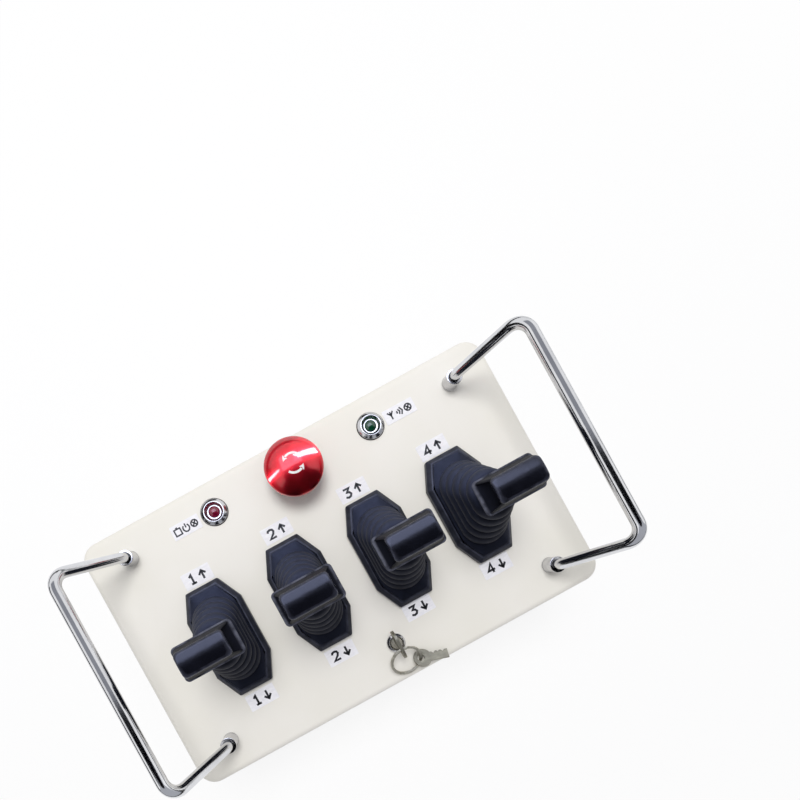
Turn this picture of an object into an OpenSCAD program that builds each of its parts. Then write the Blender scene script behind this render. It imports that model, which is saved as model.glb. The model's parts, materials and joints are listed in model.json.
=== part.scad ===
// Crane radio remote control: a desk-top transmitter with four self-centring paddle levers,
// a twist-release stop button, two lamps, a key switch and two bent carrying handles.
// Millimetres. X runs across the panel, Y runs towards the stop button, Z is up, feet stand on Z = 0.

/* [Housing] */
// Width of the housing across the panel
housing_w = 330; // [315:1:350]
// Depth of the housing across the panel
housing_d = 197; // [190:1:215]
// Height of the upper shell, from the seam to the panel face
upper_h = 50; // [48:0.5:60]
// Height of the lower shell, from its floor to the seam
lower_h = 48; // [44:0.5:60]
// Wall of both shells
wall = 3; // [2.5:0.1:3.6]
// Corner radius seen from above
corner_r = 13; // [11:0.5:16]
// Radius along the panel edge and the floor edge
edge_r = 5; // [4:0.25:6]
// Thickness of the seam gasket
seam_t = 1.5; // [1:0.1:2.5]
// Height of the rubber feet
foot_h = 5; // [4:0.5:8]
// Diameter of the rubber feet
foot_d = 18; // [14:0.5:22]
// Distance of the feet from the middle, across
foot_x = 122; // [110:1:128]
// Distance of the feet from the middle, front to back
foot_y = 70; // [60:1:76]
// Outside radius of the four corner posts
post_r = 6; // [5.6:0.1:7]
// Diameter of the shell screws
shell_screw_d = 4; // [3.5:0.1:4.2]

/* [Handles] */
// Diameter of the handle rod
rod_d = 7.5; // [7:0.25:9]
// Distance between the two ends of one handle
handle_span = 150; // [130:1:156]
// Distance of the handle ends from the middle
handle_x = 131.5; // [128:0.5:138]
// Sideways reach of the grip beyond the handle ends
handle_reach = 28; // [22:0.5:32]
// Lean of the legs away from upright, in degrees
handle_lean = 31; // [25:1:45]
// Centre-line radius of the bend near the panel
leg_bend_r = 10; // [8:0.5:14]
// Centre-line radius of the two grip corners
grip_bend_r = 11; // [10:0.5:18]
// Diameter of the ferrules at the handle ends
ferrule_d = 11.5; // [10.5:0.25:13]
// Height of the ferrules
ferrule_h = 12; // [11:0.25:12.25]
// Thickness of the ferrule floor under the rod
ferrule_floor = 3; // [2:0.25:4]
// Height above the panel where the lower bend starts
bend_start = 13; // [12.5:0.25:15]
// Diameter of the handle screws
handle_screw_d = 4; // [3:0.25:4.5]

/* [Levers] */
// Number of levers in the row
stick_count = 4; // [4:1:4]
// Distance from one lever to the next
stick_pitch = 65.3; // [60:0.1:68]
// Place of the controls' middle line, across
control_x = 2; // [-3:0.5:3]
// Place of the lever row, front to back
stick_y = -8.5; // [-12:0.5:-5]
// Width of a lever bezel
bezel_w = 43.5; // [43:0.5:48]
// Length of a lever bezel
bezel_l = 82.5; // [80:0.5:88]
// Height of a lever bezel
bezel_h = 8; // [7:0.25:10]
// Slope of the bezel rim, across and down
bezel_bevel = 3; // [2:0.25:3.5]
// Corner cut of the bezel, across
bezel_cut_x = 9; // [7:0.5:11]
// Corner cut of the bezel, along
bezel_cut_y = 19; // [15:0.5:22]
// Half width of the boot where it leaves the bezel
boot_rx = 17.5; // [16.5:0.25:18]
// Half length of the boot where it leaves the bezel
boot_ry = 32; // [29:0.25:33]
// Radius of the boot at its top fold
boot_top_r = 12.5; // [11:0.25:14]
// Height of the top fold above the panel
boot_h = 49; // [45:0.5:51]
// Number of folds in the boot
boot_folds = 5; // [4:1:6]
// Depth of a fold from its middle line
fold_depth = 1.25; // [0.8:0.05:1.5]
// Thickness of the boot rubber
boot_t = 1.6; // [1.2:0.1:2]
// Depth of the pivot under the panel face
pivot_depth = 14; // [13:0.25:16]
// Swing of a lever to each side, in degrees
swing = 22; // [18:0.5:22]
// Diameter of the lever shaft
shaft_d = 8; // [7:0.25:9]
// Diameter of the pivot pin
pin_d = 6; // [5:0.25:6.5]
// Radius of the lever hub
hub_r = 9; // [8:0.25:9.5]
// Width of the lever hub
hub_w = 9; // [8.5:0.25:10]
// Width of the spring boss beside the hub
boss_w = 7.4; // [7.2:0.1:9]
// Mean radius of the centring spring
coil_r = 7; // [6.8:0.1:7.6]
// Wire of the centring spring
coil_wire = 1.4; // [1.2:0.1:1.5]
// Thickness of the two frame cheeks
cheek_t = 5; // [4:0.25:6]
// Thickness of the frame flange under the panel
flange_t = 3; // [2.5:0.25:4]
// Diameter of the screws that hold a bezel
bezel_screw_d = 3; // [2.5:0.1:3.5]

/* [Paddles] */
// Width of the paddle at its rim
paddle_w = 39; // [35:0.5:42]
// Depth of the paddle at its rim
paddle_d = 22; // [19:0.5:25]
// Width of the paddle's flat top
paddle_top_w = 30.5; // [27:0.5:33]
// Depth of the paddle's flat top
paddle_top_d = 15.5; // [13:0.5:18]
// Height of the paddle rim above the panel
rim_z = 71; // [68:0.5:73]
// Height of the paddle top above the panel
paddle_z = 86; // [82:0.5:92]
// Height of the paddle foot above the panel
paddle_foot_z = 55; // [54.5:0.25:58]

/* [Stop button] */
// Distance of the stop button from the back edge of the housing
estop_inset = 26.5; // [25:0.5:32]
// Diameter of the mushroom head
estop_d = 41; // [36:0.5:44]
// Height of the mushroom top above the panel
estop_top = 31; // [30:0.5:33]
// Height of the mushroom's lower edge above the panel
estop_low = 17; // [16.5:0.25:18]
// Height of the mushroom's edge band
estop_band = 4.5; // [3.5:0.25:6]
// Travel of the stop button
estop_travel = 4.5; // [3.5:0.25:4.5]
// Diameter of the stop button's collar
estop_collar_d = 30; // [28:0.5:34]
// Diameter of the threaded shank through the panel
estop_shank_d = 22; // [20:0.5:24]
// Diameter of the sliding stem
estop_stem_d = 12; // [10:0.25:13]
// Height of the contact block
contact_h = 26; // [24:0.5:28]
// Width of the contact block
contact_w = 30; // [28:0.5:34]
// Depth of the contact block
contact_d = 36; // [32:0.5:40]

/* [Lamps and key switch] */
// Distance of the lamps from the middle
lamp_x = 64.5; // [58:0.5:70]
// Distance of the lamps from the back edge of the housing
lamp_inset = 23; // [19:0.5:28]
// Diameter of a lamp bezel
lamp_d = 19.5; // [18:0.5:22]
// Diameter of a lamp lens
lens_d = 8; // [7:0.25:9]
// Diameter of a lamp's shank
lamp_shank_d = 12; // [11:0.25:13]
// Length of a lamp's shank under the panel face
lamp_shank_l = 20; // [16:0.5:24]
// Place of the key switch, across
key_x = 7; // [0:0.5:8]
// Distance of the key switch from the front edge of the housing
key_inset = 28; // [26:0.5:35]
// Diameter of the key switch collar
lock_d = 13.5; // [13.25:0.25:18]
// Diameter of the lock's shank
lock_shank_d = 12; // [11.5:0.25:13]
// Depth of the lock under the panel face
lock_depth = 24; // [20:0.5:28]
// Depth of the inserted key under the panel face
key_in = 14; // [12:0.5:16]
// Diameter of the turning plug
plug_d = 8; // [7.75:0.25:8.5]
// Thickness of a key
key_t = 1.8; // [1.6:0.1:1.9]
// Width of a key blade
blade_w = 6.4; // [5.5:0.1:6.5]
// Radius of a key's bow
bow_r = 6.5; // [6:0.1:7]
// Half length of the long hole in the key's bow
bow_slot = 4; // [2:0.25:5]
// Middle-line radius of the key ring
ring_r = 11; // [10:0.25:12]
// Wire of the key ring
ring_wire = 2.2; // [1.6:0.1:2.4]

/* [Inside] */
// Width of the circuit board
board_w = 120; // [110:1:128]
// Depth of the circuit board
board_d = 80; // [70:1:90]
// Thickness of the circuit board
board_t = 1.6; // [1.2:0.1:2]
// Distance of the board's middle from the middle of the housing
board_x = 62; // [60:0.5:66]
// Height of the board above the floor of the lower shell
board_up = 8; // [6:0.5:10]
// Diameter of the aerial on the board
aerial_d = 8; // [6:0.5:10]
// Height of the aerial on the board
aerial_h = 25; // [20:0.5:28]
// Width of the battery pack
battery_w = 100; // [90:1:108]
// Depth of the battery pack
battery_d = 62; // [54:1:70]
// Height of the battery pack
battery_h = 34; // [28:0.5:36]
// Distance of the pack's middle from the middle of the housing
battery_x = 78; // [74:0.5:82]
// Length of the ribs that hold the battery pack
rib_l = 40; // [30:1:50]
// Height of the ribs that hold the battery pack
rib_h = 14; // [10:0.5:18]
// Thickness of the ribs
rib_t = 2; // [1.6:0.1:2.4]
// Diameter of the plug that holds a rubber foot
foot_plug_d = 6; // [5:0.25:7]

/* [Fits] */
// Running clearance on the radius between parts that turn or slide
run_fit = 0.05; // [0.03:0.01:0.09]
// Clearance on the radius of a screw or a shank in its hole
hole_fit = 0.25; // [0.2:0.05:0.4]
// Clearance on the radius of parts that are pressed together
press_fit = 0.02; // [0.01:0.01:0.04]
// Space between parts that move past each other
air = 0.3; // [0.25:0.05:0.4]

/* [Hidden] */
$fn = 48;
z_floor = foot_h;
z_seam = z_floor + lower_h;
z_upper = z_seam + seam_t;
z_panel = z_upper + upper_h;
z_under = z_panel - wall;
post_x = housing_w / 2 - corner_r;
post_y = housing_d / 2 - corner_r;
shell_head_z = z_floor + 26;
shell_screw_in = 14;
rod_r = rod_d / 2;
leg_reach = leg_bend_r * (1 - cos(handle_lean));
leg_l = (handle_reach - leg_reach) / sin(handle_lean);
neck_cut = 0.8;
handle_screw_in = 6;
z_pivot = z_panel - pivot_depth;
flange_z = z_under - flange_t;
cheek_in = -hub_w / 2 - air;
cheek_out = hub_w / 2 + boss_w + air;
boss_r = coil_r - coil_wire / 2 - air;
tail_y = coil_r - coil_wire / 2 - air;
tail_top = z_pivot - coil_r - coil_wire - 1.6;
tail_low = tail_top - 8;
tail_sweep = sqrt(pow(z_pivot - tail_low, 2) + pow(tail_y, 2));
bridge_top = z_pivot - tail_sweep - 1;
bridge_low = bridge_top - 6;
pin_out = 3.5;
sensor_l = 8;
sensor_r = pivot_depth - wall - flange_t - 0.5;
slot_x = hub_w / 2 + 0.7;
slot_y = (pivot_depth + bezel_h) * tan(swing) / 2 + shaft_d + 0.6;
screw_x = 7;
screw_y = bezel_l / 2 - 4.35;
boot_flange = 1.5;
boot_flange_t = 2;
paddle_bore_z = rim_z + 3;
estop_y = housing_d / 2 - estop_inset;
estop_shank_l = 18;
contact_lug = 2;
estop_nut_t = 5;
estop_seat = estop_low + 1.05;
contact_top = z_panel - estop_shank_l;
contact_floor = contact_top - contact_h + 4;
stem_low = contact_top - 4;
lamp_y = housing_d / 2 - lamp_inset;
lamp_cap_h = 3.2;
lock_h = 4;
key_y = key_inset - housing_d / 2;
plug_face = z_panel + lock_h + 0.4;
bow_z = plug_face + 0.1 + bow_r;
bow_hole_r = 2.6;
bow_hole_z = bow_z + 1.2;
ring_y = key_y - bow_slot;
ring_fall = asin((bow_hole_z - z_panel - ring_wire / 2 - air) / (2 * ring_r));
spare_turn = 115;
spare_at = [
  key_x + ring_r * sin(spare_turn),
  ring_y - ring_r * (1 - cos(spare_turn)) * cos(ring_fall),
  bow_hole_z - ring_r * (1 - cos(spare_turn)) * sin(ring_fall)
];
board_z = z_floor + wall + board_up;
board_post_x = board_w / 2 - 6;
board_post_y = board_d / 2 - 6;
board_peg_r = 1.5;
battery_r = 4;

function stick_x(i) = control_x + (i - (stick_count + 1) / 2) * stick_pitch;
function mix(a, b, t) = a + (b - a) * t;
function octagon(w, l, cx, cy) = [
  [w / 2 - cx, -l / 2], [w / 2, -l / 2 + cy], [w / 2, l / 2 - cy], [w / 2 - cx, l / 2],
  [cx - w / 2, l / 2], [-w / 2, l / 2 - cy], [-w / 2, cy - l / 2], [cx - w / 2, -l / 2]
];

// Shared forms

// A closed tube through rings of points: the last ring joins the first, so the solid has a hole through it
module ring_loft(rings) {
  n = len(rings[0]);
  m = len(rings);
  polyhedron(
    points = [for (r = rings) each r],
    faces = [
      for (k = [0:m - 1], j = [0:n - 1])
        let (a = k * n, b = ((k + 1) % m) * n, q = (j + 1) % n)
          each [[a + j, b + j, b + q], [a + j, b + q, a + q]]
    ],
    convexity = 8
  );
}

// A wire of six sides carried along a list of [point, side, up] places and closed at both ends
module wire(path, r) {
  n = 6;
  m = len(path);
  polyhedron(
    points = [
      for (p = path, j = [0:n - 1])
        p[0] + r * cos(360 * j / n) * p[1] + r * sin(360 * j / n) * p[2]
    ],
    faces = concat(
      [[for (j = [0:n - 1]) j]],
      [
        for (k = [0:m - 2], j = [0:n - 1])
          let (a = k * n, b = a + n, q = (j + 1) % n)
            each [[a + j, b + j, b + q], [a + j, b + q, a + q]]
      ],
      [[for (j = [n - 1:-1:0]) (m - 1) * n + j]]
    ),
    convexity = 10
  );
}

module at_ends(x, y) {
  for (i = [-1, 1], j = [-1, 1])
    translate([i * x, j * y, 0])
      children();
}

// A tray with rounded corners and a rounded edge all round its closed end
module tray_form(h, inset, fillet) {
  r = corner_r - inset;
  hull()
    at_ends(post_x, post_y) {
      cylinder(r = r, h = h - fillet, $fn = 32);
      translate([0, 0, h - fillet])
        rotate_extrude($fn = 32)
          translate([r - fillet, 0])
            circle(r = fillet, $fn = 32);
    }
}

module seam_ring(h, outset, width) {
  difference() {
    tray_outline(h, outset);
    translate([0, 0, -1])
      tray_outline(h + 2, outset + width);
  }
}

module tray_outline(h, inset) {
  linear_extrude(h)
    hull()
      at_ends(post_x, post_y)
        circle(r = corner_r - inset, $fn = 40);
}

module pill(r, straight, h) {
  linear_extrude(h)
    hull()
      for (j = [-1, 1])
        translate([0, j * straight])
          circle(r = r, $fn = 48);
}

module across(x0, x1, r) {
  translate([x0, 0, 0])
    rotate([0, 90, 0])
      cylinder(r = r, h = x1 - x0);
}

module at_stick(i, z) {
  translate([stick_x(i), stick_y, z])
    children();
}

// Housing

module top_shell() {
  color("#e6e0cf")
    difference() {
      union() {
        difference() {
          translate([0, 0, z_upper])
            tray_form(upper_h, 0, edge_r);
          translate([0, 0, z_upper - 1])
            tray_form(upper_h - wall + 1, wall, edge_r - wall + 0.5);
        }
        translate([0, 0, z_upper])
          at_ends(post_x, post_y)
            cylinder(r = post_r, h = upper_h - wall / 2);
      }
      translate([0, 0, z_upper - 1])
        at_ends(post_x, post_y)
          cylinder(d = shell_screw_d + 2 * press_fit, h = shell_screw_in + 3);
      translate([0, 0, z_under - 1]) {
        at_ends(handle_x, handle_span / 2)
          cylinder(d = handle_screw_d + 2 * hole_fit, h = wall + 2);
        translate([control_x, estop_y, 0])
          cylinder(d = estop_shank_d + 2 * hole_fit, h = wall + 2);
        for (s = [-1, 1])
          translate([control_x + s * lamp_x, lamp_y, 0])
            cylinder(d = lamp_shank_d + 2 * hole_fit, h = wall + 2);
        translate([key_x, key_y, 0])
          cylinder(d = lock_shank_d + 2 * hole_fit, h = wall + 2);
      }
      for (i = [1:stick_count])
        at_stick(i, z_under - 1) {
          translate([-slot_x, -slot_y, 0])
            cube([2 * slot_x, 2 * slot_y, wall + 2]);
          at_ends(screw_x, screw_y)
            cylinder(d = bezel_screw_d + 2 * hole_fit, h = wall + 2);
        }
    }
}

module battery_ribs() {
  for (s = [-1, 1]) {
    translate([s * (battery_w / 2 + air + rib_t / 2) - battery_x - rib_t / 2, -rib_l / 2, z_floor])
      cube([rib_t, rib_l, wall + rib_h]);
    translate([-battery_x - rib_l / 2, s * (battery_d / 2 + air + rib_t / 2) - rib_t / 2, z_floor])
      cube([rib_l, rib_t, wall + rib_h]);
  }
}

module bottom_shell() {
  color("#dcd6c6")
    difference() {
      union() {
        difference() {
          translate([0, 0, z_seam])
            mirror([0, 0, 1])
              tray_form(lower_h, 0, edge_r);
          translate([0, 0, z_seam + 1])
            mirror([0, 0, 1])
              tray_form(lower_h - wall + 1, wall, edge_r - wall + 0.5);
        }
        translate([0, 0, z_floor + wall / 2])
          at_ends(post_x, post_y)
            cylinder(r = post_r, h = lower_h - wall / 2);
        battery_ribs();
        translate([board_x, 0, z_floor + wall / 2])
          at_ends(board_post_x, board_post_y) {
            cylinder(r = board_peg_r + 2.5, h = board_z - z_floor - wall / 2);
            cylinder(r = board_peg_r, h = board_z - z_floor - wall / 2 + board_t + 0.6);
          }
      }
      translate([0, 0, z_floor - 1])
        at_ends(post_x, post_y) {
          cylinder(r = post_r - 1.8, h = shell_head_z - z_floor + 1);
          cylinder(d = shell_screw_d + 2 * hole_fit, h = lower_h + 2);
        }
      translate([0, 0, z_floor - 1])
        at_ends(foot_x, foot_y)
          cylinder(d = foot_plug_d, h = wall + 2);
    }
}

module seam_gasket() {
  color("#202020")
    translate([0, 0, z_seam])
      seam_ring(seam_t, 0.6, wall - 0.6);
}

module rubber_feet() {
  color("#1b1b1c")
    at_ends(foot_x, foot_y)
      difference() {
        union() {
          cylinder(d1 = foot_d - 2, d2 = foot_d, h = foot_h);
          cylinder(d = foot_plug_d - 2 * press_fit, h = foot_h + wall + 1);
          translate([0, 0, foot_h + wall])
            cylinder(d1 = foot_plug_d + 1.2, d2 = foot_plug_d - 0.5, h = 2);
        }
      }
}

module shell_screws() {
  color("#a9adb2")
    at_ends(post_x, post_y)
      difference() {
        union() {
          translate([0, 0, shell_head_z - 2.6])
            cylinder(d = shell_screw_d + 3.2, h = 2.6);
          translate([0, 0, shell_head_z - 0.5])
            cylinder(d = shell_screw_d, h = z_upper + shell_screw_in - shell_head_z + 0.5);
        }
        translate([0, 0, shell_head_z - 3])
          cylinder(r = 1.6, h = 1.9, $fn = 6);
      }
}

// Handles

module bend(r, turn) {
  rotate_extrude(angle = turn, $fn = 96)
    translate([r, 0])
      circle(r = rod_r);
}

// The rod end that stands in its ferrule, with a narrow neck below the bend
module rod_end() {
  translate([handle_x, handle_span / 2, z_panel])
    difference() {
      union() {
        translate([0, 0, ferrule_floor])
          cylinder(r = rod_r, h = ferrule_h - 1 - ferrule_floor);
        translate([0, 0, ferrule_h - 2])
          cylinder(r = rod_r - neck_cut, h = bend_start - ferrule_h + 2.4);
      }
      translate([0, 0, ferrule_floor - 1])
        cylinder(d = handle_screw_d + 2 * press_fit, h = handle_screw_in + 1.5);
    }
}

// Half of the bent rod, in the plane of its slope: lower bend, leg, corner and half the grip
module bent_half() {
  translate([0, handle_span / 2, 0]) {
    translate([leg_bend_r, 0, 0])
      rotate([0, 180, 0])
        rotate([90, 0, 0])
          bend(leg_bend_r, handle_lean);
    cylinder(r = rod_r, h = leg_l - grip_bend_r);
    translate([0, -grip_bend_r, leg_l - grip_bend_r])
      rotate([90, 0, 90])
        bend(grip_bend_r, 90);
  }
}

module handle() {
  color("#d5d8dc")
    union() {
      rod_end();
      mirror([0, 1, 0])
        rod_end();
      translate([handle_x + leg_reach, 0, z_panel + bend_start + leg_bend_r * sin(handle_lean)])
        rotate([0, handle_lean, 0]) {
          bent_half();
          mirror([0, 1, 0])
            bent_half();
          translate([0, handle_span / 2 - grip_bend_r, leg_l])
            rotate([90, 0, 0])
              cylinder(r = rod_r, h = handle_span - 2 * grip_bend_r);
        }
    }
}

module right_handle() {
  handle();
}

module left_handle() {
  mirror([1, 0, 0])
    handle();
}

module handle_ferrules() {
  color("#d5d8dc")
    at_ends(handle_x, handle_span / 2)
      translate([0, 0, z_panel])
        difference() {
          cylinder(d = ferrule_d, h = ferrule_h);
          translate([0, 0, ferrule_floor])
            cylinder(r = rod_r + press_fit, h = ferrule_h);
          translate([0, 0, -1])
            cylinder(d = handle_screw_d + 2 * hole_fit, h = ferrule_h);
        }
}

module handle_screws() {
  color("#a9adb2")
    at_ends(handle_x, handle_span / 2)
      difference() {
        union() {
          translate([0, 0, z_under - 1])
            cylinder(d = handle_screw_d + 7, h = 1);
          translate([0, 0, z_under - 4])
            cylinder(d = handle_screw_d + 3.5, h = 3.2);
          translate([0, 0, z_under - 1.5])
            cylinder(d = handle_screw_d, h = 1.5 + wall + ferrule_floor + handle_screw_in);
        }
        translate([0, 0, z_under - 5])
          cylinder(r = 2.2, h = 3, $fn = 6);
      }
}

// Levers

module bezel(i) {
  color("#191a20")
    at_stick(i, z_panel)
      difference() {
        union() {
          linear_extrude(bezel_h - bezel_bevel)
            polygon(octagon(bezel_w, bezel_l, bezel_cut_x, bezel_cut_y));
          translate([0, 0, bezel_h - bezel_bevel])
            bezel_rim();
        }
        translate([0, 0, -1])
          pill(boot_rx + air, boot_ry - boot_rx, bezel_h + 2);
        translate([0, 0, -1])
          pill(boot_rx + boot_flange + air, boot_ry - boot_rx, boot_flange_t + 1.1);
        translate([0, 0, -1])
          at_ends(screw_x, screw_y)
            cylinder(d = bezel_screw_d + 2 * press_fit, h = bezel_h - 1.5);
      }
}

module bezel_rim() {
  hull() {
    linear_extrude(0.01)
      polygon(octagon(bezel_w, bezel_l, bezel_cut_x, bezel_cut_y));
    translate([0, 0, bezel_bevel - 0.01])
      linear_extrude(0.01)
        polygon(octagon(
          bezel_w - 2 * bezel_bevel, bezel_l - 2 * bezel_bevel,
          bezel_cut_x - bezel_bevel * 0.37, bezel_cut_y - bezel_bevel * 0.79
        ));
  }
}

// One ring of the boot: a circle of radius r drawn out along Y
function boot_ring(r, straight, z) = [
  for (j = [0:27])
    let (a = 360 * (j + 0.5) / 28)
      [r * cos(a), r * sin(a) + (a < 180 ? straight : -straight), z]
];

function fold_r(t) = mix(boot_rx - fold_depth, boot_top_r, t);
function fold_s(t) = mix(boot_ry - boot_rx, 0.5, t);
function fold_z(t) = mix(boot_flange_t + 4, boot_h, t);

module boot(i) {
  steps = boot_folds * 3;
  base_s = boot_ry - boot_rx;
  outer = [
    for (k = [0:steps])
      let (t = k / steps)
        boot_ring(fold_r(t) - fold_depth * cos(360 * k / 3), fold_s(t), fold_z(t))
  ];
  inner = [
    for (k = [7:-1:0])
      let (t = k / 7)
        boot_ring(fold_r(t) - fold_depth - boot_t, fold_s(t), fold_z(t) - boot_t)
  ];
  color("#15161b")
    at_stick(i, z_panel)
      ring_loft(concat(
        [
          boot_ring(boot_rx + boot_flange, base_s, 0),
          boot_ring(boot_rx + boot_flange, base_s, boot_flange_t),
          boot_ring(boot_rx, base_s, boot_flange_t)
        ],
        outer,
        [
          boot_ring(shaft_d / 2 + 3.4, 0.01, boot_h + 2),
          boot_ring(shaft_d / 2 + 3.4, 0.01, paddle_foot_z - air),
          boot_ring(shaft_d / 2 + air, 0.01, paddle_foot_z - air),
          boot_ring(shaft_d / 2 + air, 0.01, boot_h)
        ],
        inner,
        [boot_ring(boot_rx - boot_t - fold_depth, base_s, 0)]
      ));
}

module plate(w, d, r, h) {
  linear_extrude(h)
    hull()
      at_ends(w / 2 - r, d / 2 - r)
        circle(r = r, $fn = 32);
}

module paddle(i) {
  color("#1b1c22")
    at_stick(i, z_panel)
      difference() {
        union() {
          hull() {
            translate([0, 0, rim_z - 1.5])
              plate(paddle_w, paddle_d, 2.5, 1.5);
            translate([0, 0, paddle_z - 2.6])
              plate(paddle_top_w + 0.6, paddle_top_d + 0.6, 2.6, 1.3);
            translate([0, 0, paddle_z - 0.5])
              plate(paddle_top_w - 1.6, paddle_top_d - 1.6, 1.8, 0.5);
          }
          hull() {
            translate([0, 0, rim_z - 3])
              plate(paddle_w - 2, paddle_d - 2, 2.5, 1.6);
            translate([0, 0, paddle_foot_z])
              plate(shaft_d + 15, shaft_d + 6.5, 4, 3);
          }
        }
        translate([0, 0, paddle_foot_z - 1])
          cylinder(d = shaft_d + 2 * press_fit, h = paddle_bore_z - paddle_foot_z + 1);
        for (s = [-1, 1])
          translate([s * (paddle_w / 2 + 7.4), 0, paddle_z + 2.5])
            rotate([90, 0, 0])
              cylinder(r = 13.5, h = paddle_d - 7, center = true, $fn = 64);
      }
}

module lever(i) {
  color("#9aa0a6")
    at_stick(i, 0)
      difference() {
        union() {
          translate([0, 0, z_pivot])
            cylinder(d = shaft_d, h = z_panel + paddle_bore_z - 0.2 - z_pivot);
          translate([0, 0, z_pivot]) {
            across(-hub_w / 2, hub_w / 2, hub_r);
            across(0, hub_w / 2 + boss_w, boss_r);
          }
          translate([-hub_w / 2, -4, tail_low + 1])
            cube([hub_w, 8, z_pivot - tail_low - 1]);
          translate([-hub_w / 2, -tail_y, tail_low])
            cube([hub_w + boss_w, 2 * tail_y, tail_top - tail_low]);
        }
        translate([0, 0, z_pivot])
          across(-hub_w, hub_w + boss_w, pin_d / 2 + press_fit);
      }
}

module pivot_pin(i) {
  color("#b9bdc2")
    at_stick(i, z_pivot)
      across(cheek_in - cheek_t - pin_out, cheek_out + cheek_t + 1, pin_d / 2);
}

module cheek(x) {
  translate([x, 0, 0])
    rotate([90, 0, 90])
      linear_extrude(cheek_t)
        polygon([
          [-17, flange_z + 0.5], [17, flange_z + 0.5], [17, flange_z - 3],
          [10, z_pivot - 5], [9, bridge_low], [-9, bridge_low], [-10, z_pivot - 5], [-17, flange_z - 3]
        ]);
}

module joystick_frame(i) {
  color("#2a2c30")
    at_stick(i, 0)
      difference() {
        union() {
          translate([0, 0, flange_z])
            linear_extrude(flange_t)
              polygon(octagon(bezel_w, bezel_l, bezel_cut_x, bezel_cut_y));
          cheek(cheek_in - cheek_t);
          cheek(cheek_out);
          translate([cheek_in - 1, -tail_y, bridge_low])
            cube([cheek_out - cheek_in + 2, 2 * tail_y, bridge_top - bridge_low]);
        }
        translate([-slot_x, -slot_y, flange_z - 1])
          cube([2 * slot_x, 2 * slot_y, flange_t + 2]);
        translate([0, 0, z_pivot])
          across(cheek_in - cheek_t - 1, cheek_out + cheek_t + 1, pin_d / 2 + run_fit);
        translate([0, 0, flange_z - 1])
          at_ends(screw_x, screw_y)
            cylinder(d = bezel_screw_d + 2 * hole_fit, h = flange_t + 2);
      }
}

module joystick_screws() {
  color("#a9adb2")
    for (i = [1:stick_count])
      at_stick(i, 0)
        at_ends(screw_x, screw_y) {
          translate([0, 0, flange_z - 2])
            cylinder(d = bezel_screw_d + 2.5, h = 2);
          translate([0, 0, flange_z - 0.5])
            cylinder(d = bezel_screw_d, h = flange_t + wall + bezel_h - 2.5);
        }
}

// Torsion spring: a leg up, three and a half turns round the boss, a leg down
module centring_spring(i) {
  turns = 3.5;
  steps = 42;
  x0 = hub_w / 2 + coil_wire / 2 + 0.25;
  x1 = hub_w / 2 + boss_w - coil_wire / 2 - 0.05;
  coil = [
    for (k = [0:steps])
      let (a = 360 * turns * k / steps, x = mix(x0, x1, k / steps))
        [[x, coil_r * cos(a), coil_r * sin(a)], [1, 0, 0], [0, -cos(a), -sin(a)]]
  ];
  leg = z_pivot - bridge_low - 1;
  color("#c3c7cb")
    at_stick(i, z_pivot)
      wire(concat(
        [[[x0, coil_r, -leg], [1, 0, 0], [0, -1, 0]]],
        coil,
        [[[x1, -coil_r, -leg], [1, 0, 0], [0, 1, 0]]]
      ), coil_wire / 2);
}

module sensor(i) {
  x = cheek_in - cheek_t;
  color("#23372a")
    at_stick(i, z_pivot)
      difference() {
        union() {
          across(x - sensor_l, x, sensor_r);
          translate([x - sensor_l + 1, -5, -14])
            cube([5, 10, 8]);
        }
        across(x - pin_out - 0.5, x + 1, pin_d / 2 + run_fit);
      }
}

// Stop button

module estop_head() {
  dome_h = estop_top - estop_low - estop_band;
  dome_r = (pow(estop_d / 2, 2) + pow(dome_h, 2)) / (2 * dome_h);
  color("#b3202a")
    translate([control_x, estop_y, z_panel])
      difference() {
        rotate_extrude($fn = 96)
          intersection() {
            translate([0, estop_low])
              square([estop_d / 2, estop_top]);
            translate([0, estop_top - dome_r])
              circle(r = dome_r, $fn = 180);
          }
        translate([0, 0, estop_low - 1])
          cylinder(d = estop_d - 7, h = estop_seat + run_fit - estop_low + 1);
        translate([0, 0, estop_seat - 1])
          cylinder(d = 8 + 2 * run_fit, h = 9.4);
      }
}

module estop_stem() {
  color("#3a3d42")
    translate([control_x, estop_y, 0]) {
      translate([0, 0, stem_low])
        cylinder(d = estop_stem_d, h = z_panel + estop_seat - stem_low);
      translate([0, 0, z_panel + estop_seat - 1])
        cylinder(d = 8, h = 9);
    }
}

module estop_body() {
  color("#2b2d31")
    translate([control_x, estop_y, 0])
      difference() {
        union() {
          translate([0, 0, z_panel])
            cylinder(d1 = estop_collar_d, d2 = estop_collar_d - 3, h = estop_low - estop_travel - 0.5);
          translate([0, 0, contact_top])
            cylinder(d = estop_shank_d, h = estop_shank_l + 1);
        }
        translate([0, 0, contact_top - 1])
          cylinder(d = estop_stem_d + 2 * run_fit, h = estop_shank_l + estop_low);
      }
}

module estop_contact_block() {
  color("#c9a227")
    translate([control_x, estop_y, 0])
      difference() {
        union() {
          translate([-contact_w / 2, -contact_d / 2, contact_top - contact_h])
            cube([contact_w, contact_d, contact_h]);
          for (s = [-1, 1])
            translate([
              s * (contact_w / 2 - 6) - contact_lug, -contact_d / 2 - contact_lug,
              contact_top - contact_h + 4
            ])
              cube([2 * contact_lug, contact_d + 2 * contact_lug, 5]);
        }
        translate([0, 0, contact_floor])
          cylinder(d = estop_stem_d + 1.6, h = contact_h);
      }
}

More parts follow.
